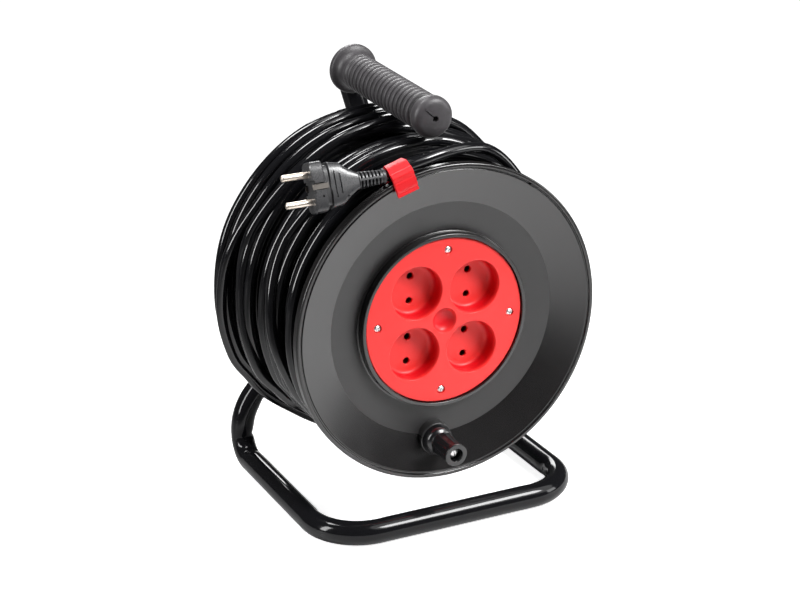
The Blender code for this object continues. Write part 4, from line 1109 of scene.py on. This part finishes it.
def add_clip(material):
    """The clip: a hook under the rim's lip, a face bent over the rim and a loop round the cord."""
    outline = in_mm(
        (109.6, -2.8, 0.3),
        (110.8, -2.8, 0.4),
        (112.1, -2.1, 0.8),
        (114.0, -3.1, 0.8),
        (119.8, -3.0, 0.8),
        (120.6, -2.5, 0.3),
        (124.6, -2.9, 1),
        (127.2, -0.6, 0.5),
        (127.4, 0.4, 0.4),
        (131.0, 3.6, 1),
        (131.0, 10.4, 1),
        (128.4, 13.4, 1),
        (114.9, 13.4, 0.6),
        (114.9, 7.1, 0.4),
        (118.4, 7.1, 0.4),
        (119.0, 11.2, 0.4),
        (126.2, 11.2, 1.2),
        (129.1, 9.0, 1),
        (129.1, 4.6, 1),
        (122.6, -0.3, 1),
        (109.6, -0.3, 0.4),
    )
    clip = prism(eased(outline, 3), CLIP_WIDTH)
    for vert in clip.verts:
        narrowing = smooth_step((vert.co.z - 122 * MM) / (9 * MM)) * smooth_step(vert.co.y / (12 * MM))
        vert.co.x *= 1 - 0.16 * narrowing
    place = REEL @ Matrix.Rotation(math.pi / 2 - CLIP_ANGLE, 4, "Y")
    add_piece("rim_clip", clip, material, "drum", place, ("cord_clip",), 40, 0.35 * MM)


def loft(sections, sides, power):
    """A closed body along X. Each section is (x, half height in z, half depth in y)."""
    bm = bmesh.new()
    rings = []
    for x, half_height, half_depth in sections:
        ring_verts = []
        for side in range(sides):
            angle = math.tau * (side + 0.5) / sides
            up = math.copysign(abs(math.sin(angle)) ** power, math.sin(angle))
            deep = math.copysign(abs(math.cos(angle)) ** power, math.cos(angle))
            ring_verts.append(bm.verts.new((x, half_depth * deep, half_height * up)))
        rings.append(ring_verts)
    for near, far in zip(rings, rings[1:]):
        for side in range(sides):
            bm.faces.new((near[side], near[side - 1], far[side - 1], far[side]))
    bm.faces.new(rings[0])
    bm.faces.new(rings[-1])
    return bm


def mirrored_block(low, high, side):
    bm = block(low, high)
    bmesh.ops.scale(bm, vec=(1, side, 1), verts=bm.verts)
    return bm


def from_face(*rows):
    """Sections of the plug from rows in millimetres: (behind its face, half height, half depth)."""
    return [(PLUG_FACE + x * MM, height * MM, depth * MM) for x, height, depth in rows]


def plug_body():
    """Wing blocks round the pins, a waist, a flat slit plate and sloped shoulders."""
    blocks = from_face((0, 17.0, 8.6), (0.9, 17.8, 9.4), (8.6, 17.8, 9.4), (9.6, 17.0, 8.4))
    waist = from_face((9, 14.4, 6.6), (13.6, 14.4, 6.6))
    plate = from_face((13, 15.6, 6.6), (13.8, 16.2, 7.8), (22, 14.8, 7.6), (26.4, 11.2, 7.2))
    shoulders = from_face((24, 12.6, 6.6), (27, 10.8, 6.4), (33.4, 6.6, 5.8))
    shoulders.append((PLUG_BACK, 6.0 * MM, 5.4 * MM))
    body = loft(blocks, 96, 0.42)
    for sections in (waist, plate, shoulders):
        body = carved(body, loft(sections, 96, 0.5), "UNION")
    # On each side an earth channel, two slits and a notch, in mm: x from the face, y inside, z
    grooves = (
        ((-1, 12.3), 6.6, (-2.6, 2.6)),
        ((16.4, 17.3), 6.9, (-9.4, 9.4)),
        ((20.3, 21.2), 6.9, (-7, 7)),
        ((5.6, 6.9), 8.2, (-7.6, -6.3)),
    )
    cuts = []
    for side in (-1, 1):
        for (x_from, x_to), inside, (z_from, z_to) in grooves:
            low = (PLUG_FACE + x_from * MM, inside * MM, z_from * MM)
            cuts.append(mirrored_block(low, (PLUG_FACE + x_to * MM, 20 * MM, z_to * MM), side))
        for end in (-1, 1):
            dot = turned(rod(1.5 * MM, 5 * MM, 20 * MM), 24)
            dot = moved(dot, (PLUG_FACE + 25.4 * MM, 0, end * 10.4 * MM))
            bmesh.ops.scale(dot, vec=(1, side, 1), verts=dot.verts)
            cuts.append(dot)
    body = carved(body, gathered(cuts))
    notch = block((PLUG_FACE - MM, -20 * MM, -4.6 * MM), (PLUG_FACE + 1.6 * MM, 20 * MM, 4.6 * MM))
    return carved(body, notch)


def slotted_relief():
    """The tapered strain relief behind the plug, with pairs of slots down both sides."""
    sections = in_mm(
        (-0.3, 5.0, 5.0),
        (-0.8, 5.4, 5.4),
        (-2.6, 5.4, 5.4),
        (-2.9, 4.9, 4.9),
        (-20.6, 6.2, 5.9),
    )
    slots = []
    for number in range(6):
        x = -4.6 * MM - number * 2.75 * MM
        for side in (-1, 1):
            slots.append(mirrored_block((x - 1.5 * MM, 2 * MM, 0.75 * MM), (x, 9 * MM, 9 * MM), side))
            slots.append(mirrored_block((x - 1.5 * MM, 2 * MM, -9 * MM), (x, 9 * MM, -0.75 * MM), side))
    return carved(loft(sections, 64, 0.86), gathered(slots))


def add_plug(material, rubber, metal, shade_darkened_metal):
    place = REEL @ Matrix.Translation(PLUG_END) @ Euler(PLUG_TURN).to_matrix().to_4x4()
    add_piece("plug_shell", plug_body(), material, "drum", place, ("plug_body",), 30)
    relief = slotted_relief()
    add_piece("slotted_relief", relief, rubber, "drum", place, ("strain_relief",), 30)

    pin_outline = eased(
        [
            (0, -11 * MM),
            (PIN_RADIUS, -11 * MM),
            (PIN_RADIUS, 18.9 * MM, 1.5 * MM),
            (0, 19 * MM),
        ]
    )
    for number, side in enumerate((-1, 1), 1):
        spot = Matrix.Translation((PLUG_FACE, 0, side * PIN_PITCH / 2)) @ Matrix.Rotation(math.pi / 2, 4, "Z")
        name = f"plug_pin_{number}"
        pin = turned(pin_outline, 40)
        add_piece(f"round_pin_{number}", pin, metal, "drum", place @ spot, (name,))
    # Painted shade: the earth strips are given a darkened nickel that stands in for the shade in their
    # channels.
    for number, side in enumerate((-1, 1), 1):
        strip_end = (PLUG_FACE + 12 * MM, 7.5 * MM, 1.9 * MM)
        strip = mirrored_block((PLUG_FACE, 6.9 * MM, -1.9 * MM), strip_end, side)
        name = f"plug_earth_strip_{number}"
        piece = f"earth_contact_{number}"
        add_piece(piece, strip, shade_darkened_metal, "drum", place, (name,), 35, 0.15 * MM)


# The studio


def add_camera():
    camera = add_object("camera", bpy.data.cameras.new("camera"))
    camera.data.sensor_width = SENSOR_WIDTH
    camera.data.lens = FOCAL_PIXELS * SENSOR_WIDTH / IMAGE_WIDTH
    camera.location = REEL @ CAMERA_PLACE
    turn = (
        Matrix.Rotation(CAMERA_AZIMUTH, 3, "Z")
        @ Matrix.Rotation(math.pi / 2 - CAMERA_ELEVATION, 3, "X")
        @ Matrix.Rotation(-CAMERA_ROLL, 3, "Z")
    )
    camera.rotation_euler = turn.to_euler()
    bpy.context.scene.camera = camera


def aim(lamp, direction):
    lamp.rotation_euler = Vector(direction).to_track_quat("-Z", "Y").to_euler()


def add_lamps():
    for name, place, target, size, power in LAMPS:
        lamp = bpy.data.lights.new(name, "AREA")
        lamp.shape = "RECTANGLE"
        lamp.size, lamp.size_y = size
        lamp.energy = power
        holder = add_object(name, lamp)
        holder.location = place
        aim(holder, Vector(target) - Vector(place))
    sky = bpy.data.lights.new("sky", "SUN")
    sky.energy = SKY_LIGHT
    sky.angle = SKY_SPREAD
    aim(add_object("sky", sky), SKY_DIRECTION)


def add_room():
    """A dim white room that the camera sees as plain white."""
    world = bpy.data.worlds.new("studio")
    bpy.context.scene.world = world
    world.use_nodes = True
    tree = world.node_tree
    room = tree.nodes["Background"]
    seen = tree.nodes.new("ShaderNodeBackground")
    for background, strength in ((room, ROOM_LIGHT), (seen, 1)):
        background.inputs["Color"].default_value = (1, 1, 1, 1)
        background.inputs["Strength"].default_value = strength
    rays = tree.nodes.new("ShaderNodeLightPath")
    chosen = tree.nodes.new("ShaderNodeMixShader")
    tree.links.new(rays.outputs["Is Camera Ray"], chosen.inputs[0])
    tree.links.new(room.outputs[0], chosen.inputs[1])
    tree.links.new(seen.outputs[0], chosen.inputs[2])
    tree.links.new(chosen.outputs[0], tree.nodes["World Output"].inputs[0])


def add_floor():
    """A pale floor that fades to white for the camera, and lights the reel less from far away."""
    finish = Finish("floor_white", (0.82, 0.82, 0.82), 0.6, Emission_Strength=1)
    seen_ray = finish.node("ShaderNodeLightPath")
    away = finish.length(finish.place()).over(*FLOOR_FADE)
    finish.set("Base Color", finish.mixed(away, finish.colour, (0.08, 0.08, 0.08, 1)))
    glow = finish.mixed(away, (0.86, 0.86, 0.86, 1), (1, 1, 1, 1))
    finish.set("Emission Color", finish.mixed(seen_ray, (0, 0, 0, 1), glow))
    bm = bmesh.new()
    bmesh.ops.create_grid(bm, x_segments=8, y_segments=8, size=4)
    mesh = bpy.data.meshes.new("floor")
    bm.to_mesh(mesh)
    bm.free()
    mesh.materials.append(finish.material)
    floor = add_object("floor", mesh)
    floor.location = FLOOR_MIDDLE


add_camera()
add_room()
add_floor()
add_lamps()
bpy.context.scene.view_settings.view_transform = "Standard"

black = black_moulding("black_moulding")
dress(black, "drum_core", "tube_end_cap")
add_front_flange(black)
add_rear_flange(black)
satin = moulded("knob_moulding", (0.006, 0.006, 0.007), 0.22, 0.004 * MM, 0.1, Specular_IOR_Level=0.8)
add_knob(satin)
add_tube(painted_steel("tube_paint"))
add_grip(soft_rubber("grip_skin", (0.05, 0.046, 0.05), 0.45))
add_socket_panel(socket_red("socket_red"))
add_clip(moulded("clip_red", (0.7, 0.015, 0.02), 0.3, 0.01 * MM, 0.1, Specular_IOR_Level=0.3))
add_plug(
    moulded("plug_moulding", (0.04, 0.04, 0.042), 0.26, 0.01 * MM, 0.15, Specular_IOR_Level=0.6),
    moulded("relief_rubber", (0.03, 0.03, 0.032), 0.3),
    plated("nickel_plate", (0.9, 0.8, 0.7), 0.3),
    # Painted shade: a darkened nickel for the earth strips, standing in for the shade in their channels.
    plated("shade_darkened_nickel", (0.12, 0.11, 0.1), 0.4, "X"),
)
add_cord()
dress(sheath("lead_sheath"), "inner_lead", "cord_grommet")
zinc = plated("zinc_plate", (0.86, 0.86, 0.86), 0.32)
add_screws(zinc)
dress(
    zinc,
    "axle",
    "axle_washer_front",
    "axle_spacer",
    "axle_washer_back",
    "axle_nut",
    "carrier_screw",
    "clamp_screw_1",
    "clamp_screw_2",
    *[f"tie_screw_{number}" for number in (1, 2, 3, 4)],
)
dress(plated("brass_strip", (0.78, 0.57, 0.27), 0.28, "X"), "live_bus_bar", "neutral_bus_bar")
ivory = moulded("ivory_moulding", (0.7, 0.67, 0.58), 0.5)
dress(ivory, "contact_carrier", "cord_clamp", "front_bush", "rear_bush")
